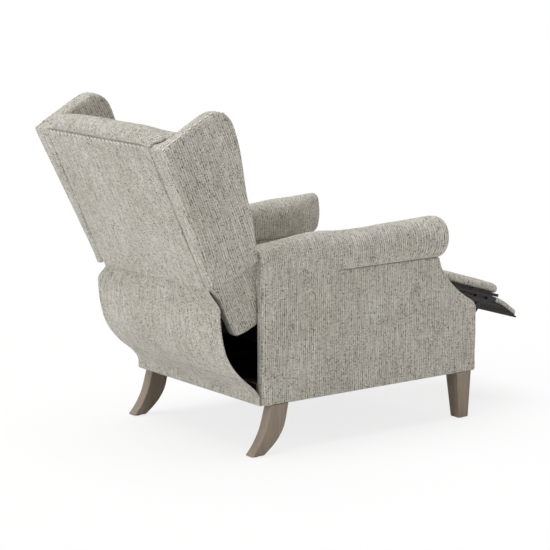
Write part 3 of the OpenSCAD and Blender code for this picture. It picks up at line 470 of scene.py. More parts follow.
def wood(name, light, mid, dark, along, roughness, gloss):
    """Straight-grained wood: noise stretched along the grain, with fine dark pores."""
    material, tree, shader = fresh_material(name)
    place = node(tree, "ShaderNodeTexCoord").outputs["Object"]
    long_scale = [26.0, 26.0, 26.0]
    long_scale[along] = 1.6
    pore_scale = [420.0, 420.0, 420.0]
    pore_scale[along] = 16.0
    bands = node(tree, "ShaderNodeTexNoise", None, Scale=1.0, Detail=4.0, Distortion=0.6,
                 Vector=node(tree, "ShaderNodeMapping", None, Vector=place,
                             Scale=long_scale).outputs[0])
    pores = node(tree, "ShaderNodeTexNoise", None, Scale=1.0, Detail=2.0,
                 Vector=node(tree, "ShaderNodeMapping", None, Vector=place,
                             Scale=pore_scale).outputs[0])
    colour = ramp(tree, bands.outputs["Fac"], [(0.3, dark), (0.5, mid), (0.72, light)])
    pore = ramp(tree, pores.outputs["Fac"], [(0.36, (0.72, 0.71, 0.70)), (0.48, (1, 1, 1))])
    colour = blended(tree, "MULTIPLY", 0.8, colour, pore)
    tree.links.new(colour, shader.inputs["Base Color"])
    relief = maths(tree, "ADD", pores.outputs["Fac"], maths(tree, "MULTIPLY",
                   bands.outputs["Fac"], 0.6))
    bump = node(tree, "ShaderNodeBump", None, Height=relief, Strength=0.25, Distance=0.0004)
    tree.links.new(bump.outputs[0], shader.inputs["Normal"])
    rough = node(tree, "ShaderNodeMapRange", None, Value=pores.outputs["Fac"], To_Min=roughness,
                 To_Max=roughness + 0.16)
    tree.links.new(rough.outputs[0], shader.inputs["Roughness"])
    shader.inputs["Specular IOR Level"].default_value = gloss
    return material


def steel(name, colour, roughness, metallic, worn):
    """Steel with fine scuffs and a slightly uneven coat."""
    material, tree, shader = fresh_material(name)
    place = node(tree, "ShaderNodeTexCoord").outputs["Object"]
    coat = node(tree, "ShaderNodeTexNoise", None, Vector=place, Scale=45.0, Detail=5.0)
    scuff = node(tree, "ShaderNodeTexNoise", None, Vector=place, Scale=260.0, Detail=3.0)
    tone = ramp(tree, coat.outputs["Fac"], [(0.35, tuple(0.8 * c for c in colour)),
                                            (0.7, colour)])
    rub = ramp(tree, scuff.outputs["Fac"], [(0.66, (0, 0, 0)), (0.8, (1, 1, 1))])
    tone = blended(tree, "MIX", maths(tree, "MULTIPLY", rub, 0.5), tone, worn)
    tree.links.new(tone, shader.inputs["Base Color"])
    rough = node(tree, "ShaderNodeMapRange", None, Value=coat.outputs["Fac"],
                 To_Min=roughness - 0.08, To_Max=roughness + 0.12)
    tree.links.new(rough.outputs[0], shader.inputs["Roughness"])
    bump = node(tree, "ShaderNodeBump", None, Height=scuff.outputs["Fac"], Strength=0.12,
                Distance=0.0003)
    tree.links.new(bump.outputs[0], shader.inputs["Normal"])
    shader.inputs["Metallic"].default_value = metallic
    return material


THREAD = thread()
LINING_AND_SHADE = black_cloth()
LEG_WOOD = wood("taupe_leg_wood", (0.33, 0.265, 0.205), (0.285, 0.226, 0.170),
                (0.235, 0.183, 0.135), 2, 0.30, 0.5)
PALE_TIMBER = (0.66, 0.50, 0.32), (0.58, 0.43, 0.27), (0.47, 0.33, 0.19)
FRAME_WOOD_ACROSS = wood("frame_wood_across", *PALE_TIMBER, 0, 0.66, 0.25)
FRAME_WOOD_DEEP = wood("frame_wood_deep", *PALE_TIMBER, 1, 0.66, 0.25)
BLACK_STEEL = steel("black_steel", (0.018, 0.018, 0.02), 0.42, 0.3, (0.06, 0.06, 0.062))
ZINC = steel("zinc_steel", (0.56, 0.56, 0.57), 0.34, 1.0, (0.42, 0.42, 0.43))
PLASTIC = steel("black_plastic", (0.02, 0.02, 0.02), 0.6, 0.0, (0.04, 0.04, 0.04))
print("finishes:", [finish.name for finish in (COVER, THREAD, LINING_AND_SHADE, LEG_WOOD, BLACK_STEEL,
                                                ZINC, PLASTIC)])

# %% [markdown]
# ## Stuffed slabs
#
# Wings, sides, the outer back and the side covers are all the same thing: a board wrapped in
# wadding and cloth. Two broad faces a few centimetres apart meet a band that runs round the
# edge. Where the band is sewn to the outer face there is a small ridge with a groove beside
# it. So one function draws them all from an outline and the two faces.


# %% A slab with soft rims
def slab(edge, middle, near, far, place, rims, crowns=(0.0, 0.0), groove=0.0, band_bulge=0.0):
    """A closed skin over a plane outline. Rings run from the middle of the near face out to
    its rim, round it by a quarter circle, across the band, round the second rim and in to
    the middle of the far face. near(q) and far(q) give the faces' distance from the plane at
    points q, groove sinks a line in the band beside the far rim, and crowns lift the faces by
    (1 - a^4)(1 - b^4), where a and b run from 0 at the middle to 1 at the outline's ends.
    place(q, w) puts plane points and distances in space."""
    middle = np.asarray(middle, float)
    inward = normals_2d(edge)
    if np.einsum("ij,ij->i", inward, middle - edge).sum() < 0:
        inward = -inward
    near_r, far_r, groove = (np.broadcast_to(np.asarray(k, float), (len(edge),))
                             for k in (*rims, groove))
    reach_up, reach_down = edge.max(0) - middle, middle - edge.min(0)
    rings = []

    def crown(q):
        """The lift's share at a point of the plane."""
        t = np.where(q > middle, (q - middle) / reach_up, (middle - q) / reach_down)
        return np.prod(1 - np.clip(t, 0, 1) ** 4, axis=1)

    def ring(inset, to_middle, distance):
        q = edge + inward * inset[:, None]
        q = q + (middle - q) * to_middle
        rings.append(place(q, distance(q)))

    for t in np.linspace(0.06, 1.0, 14):
        ring(near_r, 1 - t, lambda q: near(q) - crowns[0] * crown(q))
    for a in np.radians([18, 36, 54, 72]):
        ring(near_r * (1 - math.sin(a)), 0.0,
             lambda q, a=a: near(q) + near_r * (1 - math.cos(a)))
    for t in np.linspace(0.0, 1.0, 15):
        def band(q, t=t):
            return mix(near(q) + near_r, far(q) - far_r, t)
        sink = groove * math.exp(-((1.0 - t) / 0.09 - 1.0) ** 2)
        ring(sink - band_bulge * 4 * t * (1 - t), 0.0, band)
    for a in np.radians([72, 54, 36, 18]):
        ring(far_r * (1 - math.sin(a)), 0.0, lambda q, a=a: far(q) - far_r * (1 - math.cos(a)))
    for t in np.linspace(1.0, 0.05, 22):
        ring(far_r, 1 - t, lambda q: far(q) + crowns[1] * crown(q))
    rings = np.array(rings)
    one = middle[None]
    tips = (place(one, near(one) - crowns[0])[0], place(one, far(one) + crowns[1])[0])
    return shell(rings, around=True, tips=tips)


def ripple(obj, height, seed, length, keep):
    """Moves points along their normals by a few long crossed sine waves, so that cloth over
    wadding isn't perfectly even. keep(points) gives a share, where 1 moves and 0 stays."""
    co = coordinates(obj)
    normal = np.empty(len(obj.data.vertices) * 3)
    obj.data.vertices.foreach_get("normal", normal)
    normal = normal.reshape(-1, 3)
    rng = np.random.default_rng(seed)
    wave = np.zeros(len(co))
    for _ in range(7):
        direction = rng.normal(size=3)
        direction /= np.linalg.norm(direction)
        step = length * rng.uniform(0.6, 1.7)
        wave += np.sin(co @ direction * 2 * math.pi / step + rng.uniform(0, 6.28)) / 7**0.5
    set_coordinates(obj, co + normal * (wave * keep(co) * height)[:, None])
    return obj


# %% Rows of stitches
STITCH_PITCH, STITCH_LENGTH, STITCH_THICK = 20.0, 12.0, 2.4
STITCH_SHOULDER = 0.28


def stitches(name, path, up, slant=0.0):
    """Small spindles of thread end to end along a path, each lying on the surface: six sides
    and two tips, with its long axis along the path or slanted to it."""
    ring = np.radians(np.arange(0, 360, 60))
    step = np.linalg.norm(np.diff(path, axis=0), axis=1)
    run = np.concatenate([[0.0], np.cumsum(step)])
    at = np.arange(STITCH_PITCH, run[-1] - STITCH_PITCH, STITCH_PITCH)

    def along_run(values, where):
        return np.stack([np.interp(where, run, values[:, k]) for k in range(3)], -1)

    centre = along_run(path, at)
    along = along_run(path, at + 1) - centre
    along /= np.linalg.norm(along, axis=1)[:, None]
    lift = along_run(up, at)
    lift -= along * np.einsum("ij,ij->i", lift, along)[:, None]
    lift /= np.linalg.norm(lift, axis=1)[:, None]
    side = np.cross(along, lift)
    along = along * math.cos(slant) + side * math.sin(slant)
    side = np.cross(along, lift)
    spread = (np.cos(ring)[None, :, None] * side[:, None]
              + np.sin(ring)[None, :, None] * lift[:, None]) * STITCH_THICK
    body = np.stack([centre[:, None] + spread + along[:, None] * STITCH_LENGTH * k
                     for k in (-STITCH_SHOULDER, STITCH_SHOULDER)], 1)
    first = centre - along * STITCH_LENGTH / 2 - lift * STITCH_THICK * 0.8
    last = centre + along * STITCH_LENGTH / 2 - lift * STITCH_THICK * 0.8
    shells = [shell(b, around=True, tips=(f, l)) for b, f, l in zip(body, first, last)]
    return piece(name, shells, THREAD)


# %% Round corners and mirrored pairs
def outline(corners, step=20.0, arc=6):
    """A closed outline from corners (a, b, radius): each corner becomes an arc that touches
    both runs at radius / tan(half the corner's angle), and long runs are cut to the step."""
    p = np.array([c[:2] for c in corners], float)
    r = np.array([c[2] if len(c) > 2 else 0.0 for c in corners], float)
    back, ahead = np.roll(p, 1, 0) - p, np.roll(p, -1, 0) - p
    back /= np.linalg.norm(back, axis=1)[:, None]
    ahead /= np.linalg.norm(ahead, axis=1)[:, None]
    half = np.arccos(np.clip(np.einsum("ij,ij->i", back, ahead), -1, 1)) / 2
    points = []
    for k in range(len(p)):
        if r[k] <= 0 or half[k] > 1.55:
            points.append(p[k][None])
            continue
        bisector = (back[k] + ahead[k]) / np.linalg.norm(back[k] + ahead[k])
        centre = p[k] + bisector * r[k] / math.sin(half[k])
        a = p[k] + back[k] * r[k] / math.tan(half[k]) - centre
        b = p[k] + ahead[k] * r[k] / math.tan(half[k]) - centre
        t = np.linspace(0, 1, arc)[:, None]
        d = a * (1 - t) + b * t
        points.append(centre + d / np.linalg.norm(d, axis=1)[:, None] * r[k])
    points = np.vstack(points)
    gap = np.linalg.norm(np.roll(points, -1, 0) - points, axis=1)
    cuts = [np.linspace(0, 1, max(1, round(g / step)), endpoint=False) for g in gap]
    nexts = np.roll(points, -1, 0)
    return np.vstack([a + (b - a) * c[:, None] for a, b, c in zip(points, nexts, cuts)])


def across(shells, side):
    """The shells as they are for the right side (side 1), or mirrored for the left (-1)."""
    if side > 0:
        return shells
    return [(points * [-1, 1, 1], [f[:, ::-1] for f in faces]) for points, faces in shells]


SIDES = (("left", -1), ("right", 1))


def lay_along(obj, u, v, round_length=None, ends=None):
    """Map in metres from two numbers per point (millimetres): a distance along the piece and
    one around it. Where the piece closes on itself the last face gets the full length. The
    faces between points marked in ends are cut from a flat piece of cloth instead: they take
    (|x| - y / 2, z), which follows an end face that slants back towards the middle."""
    mesh = obj.data
    corner = np.empty(len(mesh.loops), int)
    mesh.loops.foreach_get("vertex_index", corner)
    sides = np.empty(len(mesh.polygons), int)
    mesh.polygons.foreach_get("loop_total", sides)
    starts = np.concatenate([[0], np.cumsum(sides)[:-1]])
    uv = np.stack([np.asarray(u, float)[corner], np.asarray(v, float)[corner]], -1)
    if round_length is not None:
        top = np.repeat(np.maximum.reduceat(uv[:, 1], starts), sides)
        uv[:, 1] += np.where(uv[:, 1] < top - round_length / 2, round_length, 0.0)
    if ends is not None:
        end = np.repeat(np.minimum.reduceat(ends[corner].astype(int), starts), sides)
        x, y, z = coordinates(obj)[corner].T * 1000
        uv = np.where(end[:, None] > 0, np.stack([np.abs(x) - y / 2, z], -1), uv)
    layer = mesh.uv_layers.get("cloth") or mesh.uv_layers.new(name="cloth")
    layer.data.foreach_set("uv", (uv / 1000.0).ravel())
    return obj


# %% [markdown]
# ## Side covers
#
# Each side is a wooden frame wrapped in wadding and cover. Its front edge swings down in an
# ogee from the arm to a straight post that is as wide as the leg. A flat extruded board
# would look hard; here the outer face has a slight crown and the rear corner is rounded by
# the wadding, while the edges that meet the arm stay tight.

# %% Side covers
POST_X = 266.0
FRAME_X = 294.0
HALF_WIDTH = 322.0
SIDE_TOP, SIDE_LOW = 510.0, 145.0
BOX_TOP = 556.0
REAR_Y, FRONT_Y = -39.0, -844.0
BORDER = 40.0
TIGHT_RIM, FRONT_RIM, REAR_WRAP = 4.0, 3.0, 14.0
SIDE_CROWN = 3.2
OGEE = curve(np.array([[0, 0], [.02, .10], [.12, .285], [.40, .555], [.67, .745], [.87, .845],
                       [.965, .915], [1, 1]]) * [-147, -172] + [-697, SIDE_TOP], 26)


def side_shell():
    """One side, in the plane of depth and height, thick across the chair."""
    corners = ([(REAR_Y, BOX_TOP, 16), (-235, BOX_TOP, 30), (-318, SIDE_TOP, 30),
                (-697 + 2, SIDE_TOP, 12)] + [tuple(p) for p in OGEE[2:]]
               + [(FRONT_Y, SIDE_LOW, 9), (REAR_Y, SIDE_LOW, 16)])
    edge = outline(corners, step=18.0)
    inward = normals_2d(edge)
    middle = np.array([-420.0, 320.0])
    if np.einsum("ij,ij->i", inward, middle - edge).sum() < 0:
        inward = -inward
    front = ((edge[:, 0] < -697) & (edge[:, 1] > SIDE_LOW + 2)).astype(float)
    rear = ease((edge[:, 1] - SIDE_LOW - 6) / 26) * ease((BOX_TOP - 16 - edge[:, 1]) / 50) \
        * (edge[:, 0] > REAR_Y - 2)
    low_rim = np.full(len(edge), TIGHT_RIM)
    rim = TIGHT_RIM + REAR_WRAP * rear + FRONT_RIM * front
    inner = mix(FRAME_X, POST_X, front)
    reach_up, reach_down = edge.max(0) - middle, middle - edge.min(0)
    reach_up[1] = SIDE_TOP - middle[1]
    rings = []

    def ring(inset, to_middle, x, crown=0.0):
        q = edge + inward * np.reshape(inset, (-1, 1))
        q = q + (middle - q) * to_middle
        t = np.where(q > middle, (q - middle) / reach_up, (middle - q) / reach_down)
        lift = crown * np.prod(1 - np.clip(t, 0, 1) ** 4, axis=1)
        rings.append(np.column_stack([np.broadcast_to(x, len(edge)) + lift, q]))

    for t in np.linspace(0.08, 1.0, 9):
        ring(mix(low_rim, BORDER + 6, front), 1 - t, FRAME_X)
    ring(mix(low_rim, BORDER, front), 0.0, inner + 2.0)
    ring(low_rim + 8 * front, 0.0, inner)
    for a in np.radians([30, 60, 90]):
        ring(low_rim * (1 - math.sin(a)), 0.0, inner + low_rim * (1 - math.cos(a)))
    for t in np.linspace(0.1, 0.9, 7):
        ring(0.0, 0.0, mix(inner + low_rim, HALF_WIDTH - rim, t))
    for a in np.radians([90, 72, 54, 36, 18, 0]):
        ring(rim * (1 - math.sin(a)), 0.0, HALF_WIDTH - rim * (1 - math.cos(a)))
    for t in np.linspace(0.985, 0.05, 24):
        ring(rim, 1 - t, HALF_WIDTH, SIDE_CROWN)
    tips = ([FRAME_X, *middle], [HALF_WIDTH + SIDE_CROWN, *middle])
    return shell(np.array(rings), around=True, tips=tips)


def away_from_edges(co):
    """1 in the middle of a side and 0 near its rim, so that ripples leave the seams alone."""
    y, z = co[:, 1] * 1000 - DEPTH_SHIFT, co[:, 2] * 1000
    return (ease((z - SIDE_LOW) / 60) * ease((SIDE_TOP - z) / 50) * ease((REAR_Y - y) / 50)
            * (np.abs(co[:, 0]) > 0.31))


for word, side in SIDES:
    cover = piece(f"side_cover_{word}", across([side_shell()], side), COVER)
    ripple(cover, 0.0009, 21 + side, 0.16, away_from_edges)
    lay_cloth(cover)
    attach(cover, "base")
    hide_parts(f"side_panel_{word}")
    measure(cover)

# %% [markdown]
# ## Arms
#
# Behind, the arm is a padded box that sits flush on the side. Further forward it turns into
# a roll that flares outwards and ends in a round front. The cover is pulled round it, so the
# warp runs across the arm. Three cross-sections are drawn, and each point of one moves to
# the matching point of the next along the arm: a loft. Each end is a separate piece of cloth.

# %% Arm sections
ARM_POINTS = 84
BOX = [(277, 508), (300, 508), (314, 509), (320, 514), (321.4, 533), (321.8, 556), (318, 573),
       (310, 587), (297, 597), (277, 602), (255, 600), (241, 593), (234, 580), (232, 562),
       (232, 540), (233, 518), (238, 509), (255, 508)]
TURN = [(277, 508), (302, 508), (316, 509), (322, 514), (327, 530), (329, 552), (326, 575),
        (316, 597), (300, 612), (280, 616), (261, 613), (246, 603), (237, 588), (232, 565),
        (232, 545), (233, 520), (240, 510), (257, 508)]
ROLL = [(282, 508), (305, 508), (318, 510), (328, 516), (341, 530), (350, 550), (352, 573),
        (347, 598), (332, 619), (311, 629.5), (290, 632), (266, 627), (247, 613), (236, 594),
        (232, 572), (232, 546), (234, 520), (246, 509)]
CROWN_Y = [-39, -60, -106, -159, -195, -224, -267, -303, -329, -358, -451, -565, -642, -720]
CROWN_Z = [598, 602, 606, 612, 617, 620.5, 624, 621, 617.5, 617, 621, 626, 630, 632]
REAR_END_RINGS, FRONT_END_RINGS = 8, 11


def arm_shell():
    """One arm: rings along the depth. A ring is a mix of the two nearest sections, scaled in
    height to the crown line, and the two ends close by quarter circles."""
    box, turn, roll = (curve(s, ARM_POINTS, True) for s in (BOX, TURN, ROLL))
    fine_y = np.linspace(-39, -720, 60)
    crown = np.interp(-fine_y, [-y for y in CROWN_Y], CROWN_Z)
    crown = np.convolve(np.pad(crown, 2, "edge"), np.ones(5) / 5, "valid")
    rings, lengths = [], []

    def section(y):
        first, second = ease((-150 - y) / 160.0), np.clip((-310 - y) / 400.0, 0, 1)
        s = mix(mix(box, turn, first), roll, second)
        top = mix(mix(602.0, 616.0, first), 632.0, second)
        z = 508 + (s[:, 1] - 508) * (np.interp(-y, -fine_y, crown) - 508) / (top - 508)
        return np.stack([s[:, 0], z], -1)

    def ring(y, inset, to_middle):
        s = section(y)
        inward = normals_2d(s)
        centre = s.mean(0)
        if np.einsum("ij,ij->i", inward, centre - s).sum() < 0:
            inward = -inward
        s = s + inward * inset
        return s + (centre - s) * to_middle

    def add(y, inset, to_middle, out=0.0):
        s = ring(y, inset, to_middle)
        rings.append(np.column_stack([s[:, 0], np.full(len(s), y + out), s[:, 1]]))
        lengths.append(y + out)

    rear, front = 9.0, 27.0
    for t in np.linspace(0.1, 1, 6):
        add(REAR_Y, rear, 1 - t, 1.5 * (1 - t**2))
    for a in np.radians([22.5, 45, 67.5]):
        add(REAR_Y, rear * (1 - math.sin(a)), 0.0, -rear * (1 - math.cos(a)))
    for y in np.linspace(REAR_Y - rear, -719.0 + front, 64):
        add(y, 0.0, 0.0)
    for a in np.radians([15, 30, 45, 60, 75, 90]):
        add(-719.0 + front, front * (1 - math.cos(a)), 0.0, -front * math.sin(a))
    for t in np.linspace(0.9, 0.1, 8):
        add(-719.0 + front, front, 1 - t, -front - 4.0 * (1 - t**2))
    rings = np.array(rings)
    inside = np.clip((300 - rings[..., 0]) / 68, 0, 1)
    pull = (85 * inside**1.4 + 8 * np.clip((352 - rings[..., 0]) / 120, 0, 1))
    rings[..., 1] += pull * ease((-540 - rings[..., 1]) / 180)
    tips = (rings[0].mean(0), rings[-1].mean(0))
    return shell(rings, around=True, tips=tips), rings


def round_map(rings):
    """Distances along and around a loft, per point: the ring's place and the length round
    its own section from its first point, stretched to the longest section."""
    step = np.linalg.norm(np.diff(rings, axis=1, append=rings[:, :1]), axis=2)
    turn = np.cumsum(step, 1) - step
    full = step.sum(1).max()
    share = turn / (step.sum(1)[:, None])
    along = np.concatenate([[0], np.cumsum(np.linalg.norm(np.diff(
        rings.mean(1), axis=0), axis=1))])
    u = np.repeat(along, rings.shape[1])
    v = (share * full).ravel()
    return (np.concatenate([u, [along[0], along[-1]]]),
            np.concatenate([v, [full / 2, full / 2]]), full)


for word, side in SIDES:
    shells, rings = arm_shell()
    arm = piece(f"arm_{word}", across([shells], side), COVER)
    u, v, full = round_map(rings)
    ring_of = np.arange(len(u) - 2) // rings.shape[1]
    at_end = (ring_of < REAR_END_RINGS) | (ring_of >= len(rings) - FRONT_END_RINGS)
    lay_along(arm, u, v, full, np.concatenate([at_end, [True, True]]))
    ripple(arm, 0.0011, 31 + side, 0.10,
           lambda co: ease((co[:, 2] * 1000 - 520) / 30) * ease((co[:, 1] * 1000 + 320) / 40))
    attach(arm, "base")
    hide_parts(f"arm_roll_{word}")
    measure(arm)

# %% [markdown]
# ## Inside of the sides
#
# Below each arm a padded lining faces the seat, and a black cloth closes the frame behind
# the mechanism. Both are hidden when someone looks from the back, but the chair is seen
# from all round, so they are there: a stuffed slab and a stretched sheet.

# %% Inner pads and linings
PAD_LOW = 395.0


def inner_pad_shell():
    """A slab in depth and height between the carriage plate and the side."""
    slant = [tuple(p) for p in OGEE + [BORDER + 1, 0] if p[1] > PAD_LOW + 4]
    at_low = np.interp(-PAD_LOW, -OGEE[:, 1], OGEE[:, 0]) + BORDER + 1
    edge = outline([(-131, 508.5, 6), *[(a, min(b, 508.5)) for a, b in slant],
                    (at_low, PAD_LOW + 1, 6), (-131, PAD_LOW + 1, 10)], step=18.0)
    return slab(edge, (-420, 450), lambda q: np.full(len(q), 250.5),
                lambda q: np.full(len(q), 291.5), lambda q, w: np.column_stack([w, q]),
                rims=(4.5, 3.0))


def lining_shell():
    """A cloth 1.2 mm thick over a grid of depth and height, drawn in by 1 mm between its
    tacked edges."""
    z = np.linspace(213.5, 509.5, 26)
    front = np.where(z > OGEE[-1, 1], np.interp(-z, -OGEE[:, 1], OGEE[:, 0]), FRONT_Y)
    front = front + BORDER + 1.5
    t = np.linspace(0, 1, 50)
    y = -46.0 + (front[:, None] + 46.0) * t[None]
    zz = np.repeat(z[:, None], len(t), 1)
    sag = 1.0 * np.sin(math.pi * t)[None] * np.sin(math.pi * (z - 213.5) / 296)[:, None]
    inner = np.stack([292.4 + sag * 0.4, y, zz], -1)
    outer = np.stack([np.full_like(sag, 293.6), y, zz], -1)
    return shell(np.concatenate([inner, outer[:, ::-1]], 1), around=True, zip_ends=True)


for word, side in SIDES:
    pad = piece(f"arm_inner_pad_{word}", across([inner_pad_shell()], side), COVER)
    lay_cloth(pad)
    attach(pad, "base")
    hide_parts("arm_inner_pads")
    lining = piece(f"side_lining_{word}", across([lining_shell()], side), LINING_AND_SHADE)
    lay_cloth(lining)
    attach(lining, "base")
    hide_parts("side_linings")
    measure(pad)
    measure(lining)

# %% [markdown]
# ## Legs
#
# The front legs are square and taper evenly. The rear legs are sabres: their two edges are
# different curves, so the leg thins as it sweeps back. Both are lofts of a square section
# with slightly broken edges, because a hand rounds every edge of a wooden leg.

# %% Legs
REAR_EDGE = np.array([[0, 0], [.1, .045], [.38, .215], [.64, .435], [.79, .63], [1, 1]])
FRONT_EDGE = np.array([[0, 0], [.22, .10], [.42, .20], [.63, .34], [.84, .57], [1, 1]])
FOOT_Z, LEG_TOP = 3.0, 145.0
FRONT_LEG_X, FRONT_LEG_HALF, FRONT_LEG_Y = (302, 294), (19, 28), -798
REAR_LEG_X, REAR_LEG_FRONT = (288, 324), -43.0
REAR_SWEEP, FRONT_SWEEP = 70.0, 87.0


def rounded_square(x0, x1, y0, y1, r):
    """A rectangle whose corners are arcs of radius r, as 24 points."""
    return outline([(x0, y0, r), (x1, y0, r), (x1, y1, r), (x0, y1, r)], step=1e9, arc=6)


def leg_shell(x_of, y_of, r=2.6):
    """Rings of a rounded rectangle up the leg, with broken edges at the foot."""
    heights = np.concatenate([[0, 0.006, 0.02], np.linspace(0.05, 1.0, 24)])
    rings = []
    for k, t in enumerate(heights):
        shrink = (1.8, 0.6, 0.0)[k] if k < 3 else 0.0
        (x0, x1), (y0, y1) = x_of(t), y_of(t)
        ring = rounded_square(x0 + shrink, x1 - shrink, y0 + shrink, y1 - shrink, r)
        z = FOOT_Z + (LEG_TOP - FOOT_Z) * t
        rings.append(np.column_stack([ring, np.full(len(ring), z)]))
    rings = np.array(rings)
    return shell(rings, around=True, tips=(rings[0].mean(0), rings[-1].mean(0)))


def edge_at(shares, start, reach):
    """The depth of a leg's edge at a share of its height, from a smooth curve."""
    fine = curve(shares, 120)
    return lambda t: start - reach * np.interp(t, fine[:, 1], fine[:, 0])


def square_about(centre, half):
    """The two edges of a taper: half the width on either side of the centre line."""
    return lambda t: (mix(centre[0] - half[0], centre[1] - half[1], t),
                      mix(centre[0] + half[0], centre[1] + half[1], t))


rear_edge = edge_at(REAR_EDGE, 0.0, REAR_SWEEP)
front_edge = edge_at(FRONT_EDGE, REAR_LEG_FRONT, FRONT_SWEEP)
for word, side in SIDES:
    front_leg = leg_shell(square_about(FRONT_LEG_X, FRONT_LEG_HALF),
                          square_about((FRONT_LEG_Y, FRONT_LEG_Y), FRONT_LEG_HALF))
    rear_leg = leg_shell(lambda t: REAR_LEG_X, lambda t: (front_edge(t), rear_edge(t)))
    for name, shells in ((f"front_leg_{word}", front_leg), (f"rear_leg_{word}", rear_leg)):
        leg = piece(f"turned_{name}", across([shells], side), LEG_WOOD)
        leg.modifiers.new("edges", "EDGE_SPLIT").split_angle = math.radians(40)
        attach(leg, "base")
        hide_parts(name)
        measure(leg)

# %% [markdown]
# ## Outer back, wings and the covers below them
#
# The outer back is a flat cover stretched over a board. A wing stands on each side of it:
# thin at the bottom, thick at the top, and flaring outwards. Its outer face is a separate
# cloth, sewn on from behind, which leaves a small ridge along the seam.

# %% Outer back
def back_panel_shell():
    """A slab in width and height along the back, whose rear face has a slight crown."""
    edge = outline([(-267, -14, 12), (267, -14, 12), (267, 444, 12), (-267, 444, 12)],
                   step=22.0)
    return slab(edge, (0, 215), lambda q: np.full(len(q), -11.5), lambda q: np.zeros(len(q)),
                lambda q, w: on_back(q[:, 0], q[:, 1], -w), rims=(2.0, 4.5),
                crowns=(0.0, 5.0))


def in_middle_of_back(co):
    """1 in the middle of the outer back, 0 at its seams."""
    x = np.abs(co[:, 0]) * 1000
    y, z = co[:, 1] * 1000 - DEPTH_SHIFT - BACK_FOOT[0], co[:, 2] * 1000 - BACK_FOOT[1]
    u = y * math.sin(LEAN) + z * math.cos(LEAN)
    return ease((260 - x) / 60) * ease((u + 10) / 60) * ease((438 - u) / 60)


back_panel = piece("outer_back_cover", [back_panel_shell()], COVER)
ripple(back_panel, 0.0012, 5, 0.17, in_middle_of_back)
lay_cloth(back_panel, LEAN)
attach(back_panel, "back")
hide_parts("outer_back_panel")
measure(back_panel)

# %% Wings
WING_LOW, WING_LENGTH, WING_DEPTH = -8.0, 463.0, 234.0
WING_REAR = [(.025, 0), (.35, 0), (.65, 0), (.935, 0), (.960, .02), (.972, .09),
             (.984, .35), (.996, .62)]
WING_FRONT = [(.998, .79), (.982, .885), (.948, .955), (.885, .998), (.78, .993), (.66, .957),
              (.54, .905), (.42, .855), (.30, .83), (.15, .77), (.04, .715)]
WING_FOOT = [(.005, .69), (0, .45), (0, .2), (.003, .02)]


def wing_outer(q):
    """The outer face leaves the back by 35 to 54 mm at the foot and 77 mm at the top."""
    u, v = (q[:, 0] - WING_LOW) / WING_LENGTH, q[:, 1] / WING_DEPTH
    return 268 + mix(mix(35, 54, v), 77, u)


def wing_inner(q):
    """The inner face starts 3 mm from the back's edge, closes in behind the outer back and
    opens by 17 mm towards the top."""
    u, v = np.maximum(q[:, 0], 0) / WING_LENGTH, q[:, 1]
    return 271.0 - 5.0 * np.exp(-((v - 16) / 6) ** 2) + 17.25 * ease((v - 18) / 24) * u


def wing_shell():
    """A slab in height along the back and depth, thick across the chair."""
    shares = np.array(WING_REAR + WING_FRONT + WING_FOOT)
    edge = shares * [WING_LENGTH, WING_DEPTH] + [WING_LOW, 0]
    edge = curve(edge, 190, True)
    rear = ease((30 - edge[:, 1]) / 30) * ease((edge[:, 0] + 4) / 30)
    top = ease((edge[:, 0] - 420) / 30) * ease((edge[:, 1] - 10) / 20)
    return slab(edge, (215, 112), wing_inner, wing_outer,
                lambda q, w: on_back(w, q[:, 0], q[:, 1]),
                rims=(4.5 + 7.5 * top, 5.0 + 8.0 * rear * (1 - top)), crowns=(2.0, 5.0),
                groove=4.5 * top, band_bulge=2.0)


for word, side in SIDES:
    wing = piece(f"wing_cover_{word}", across([wing_shell()], side), COVER)
    lay_cloth(wing, LEAN)
    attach(wing, "back")
    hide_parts(f"wing_{word}")
    measure(wing)

# %% Covers between the sides
FIN_TOP, FIN_LENGTH, FIN_REAR, FIN_DEPTH = -8.5, 166.5, 12.8, 81.7


def fin_shell():
    """The wrapped board that carries the back down between the sides."""
    shares = np.array([[0, 0], [.30, 0], [1, .08], [1.04, .5], [1.045, 1.04], [1, 1.15],
                       [0, 1.98]])
    corners = [(FIN_TOP - FIN_LENGTH * a, FIN_REAR + FIN_DEPTH * b, r)
               for (a, b), r in zip(shares, (12, 40, 14, 0, 0, 12, 12))]
    edge = outline(corners, step=12.0)
    return slab(edge, (-90, 55), lambda q: np.full(len(q), 258.2),
                lambda q: np.full(len(q), 289.6), lambda q, w: on_back(w, q[:, 0], q[:, 1]),
                rims=(5.0, 5.0), band_bulge=0.6)


for word, side in SIDES:
    fin = piece(f"fin_cover_{word}", across([fin_shell()], side), COVER)
    lay_cloth(fin, LEAN)
    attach(fin, "back")
    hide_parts(f"fin_{word}")
    measure(fin)

# %% [markdown]
# ## The rolled top of the back
#
# The back's cover rolls over the top rail from the rear seam and hangs down in front of it
# to the back cushion. Its section is one soft hump, a little higher in the middle of the
# chair than beside the wings.

# %% Top roll
HUMP = [(5, 446), (.8, 451), (.4, 458), (4, 467), (14, 476), (29, 481.5), (44, 481),
        (60, 473), (76, 460), (90, 444), (101, 427), (105, 414), (102, 405), (97, 406),
        (94.5, 416), (93.5, 428.6), (72, 428.6), (8, 429), (5, 434)]
ROLL_DROP = 34.0


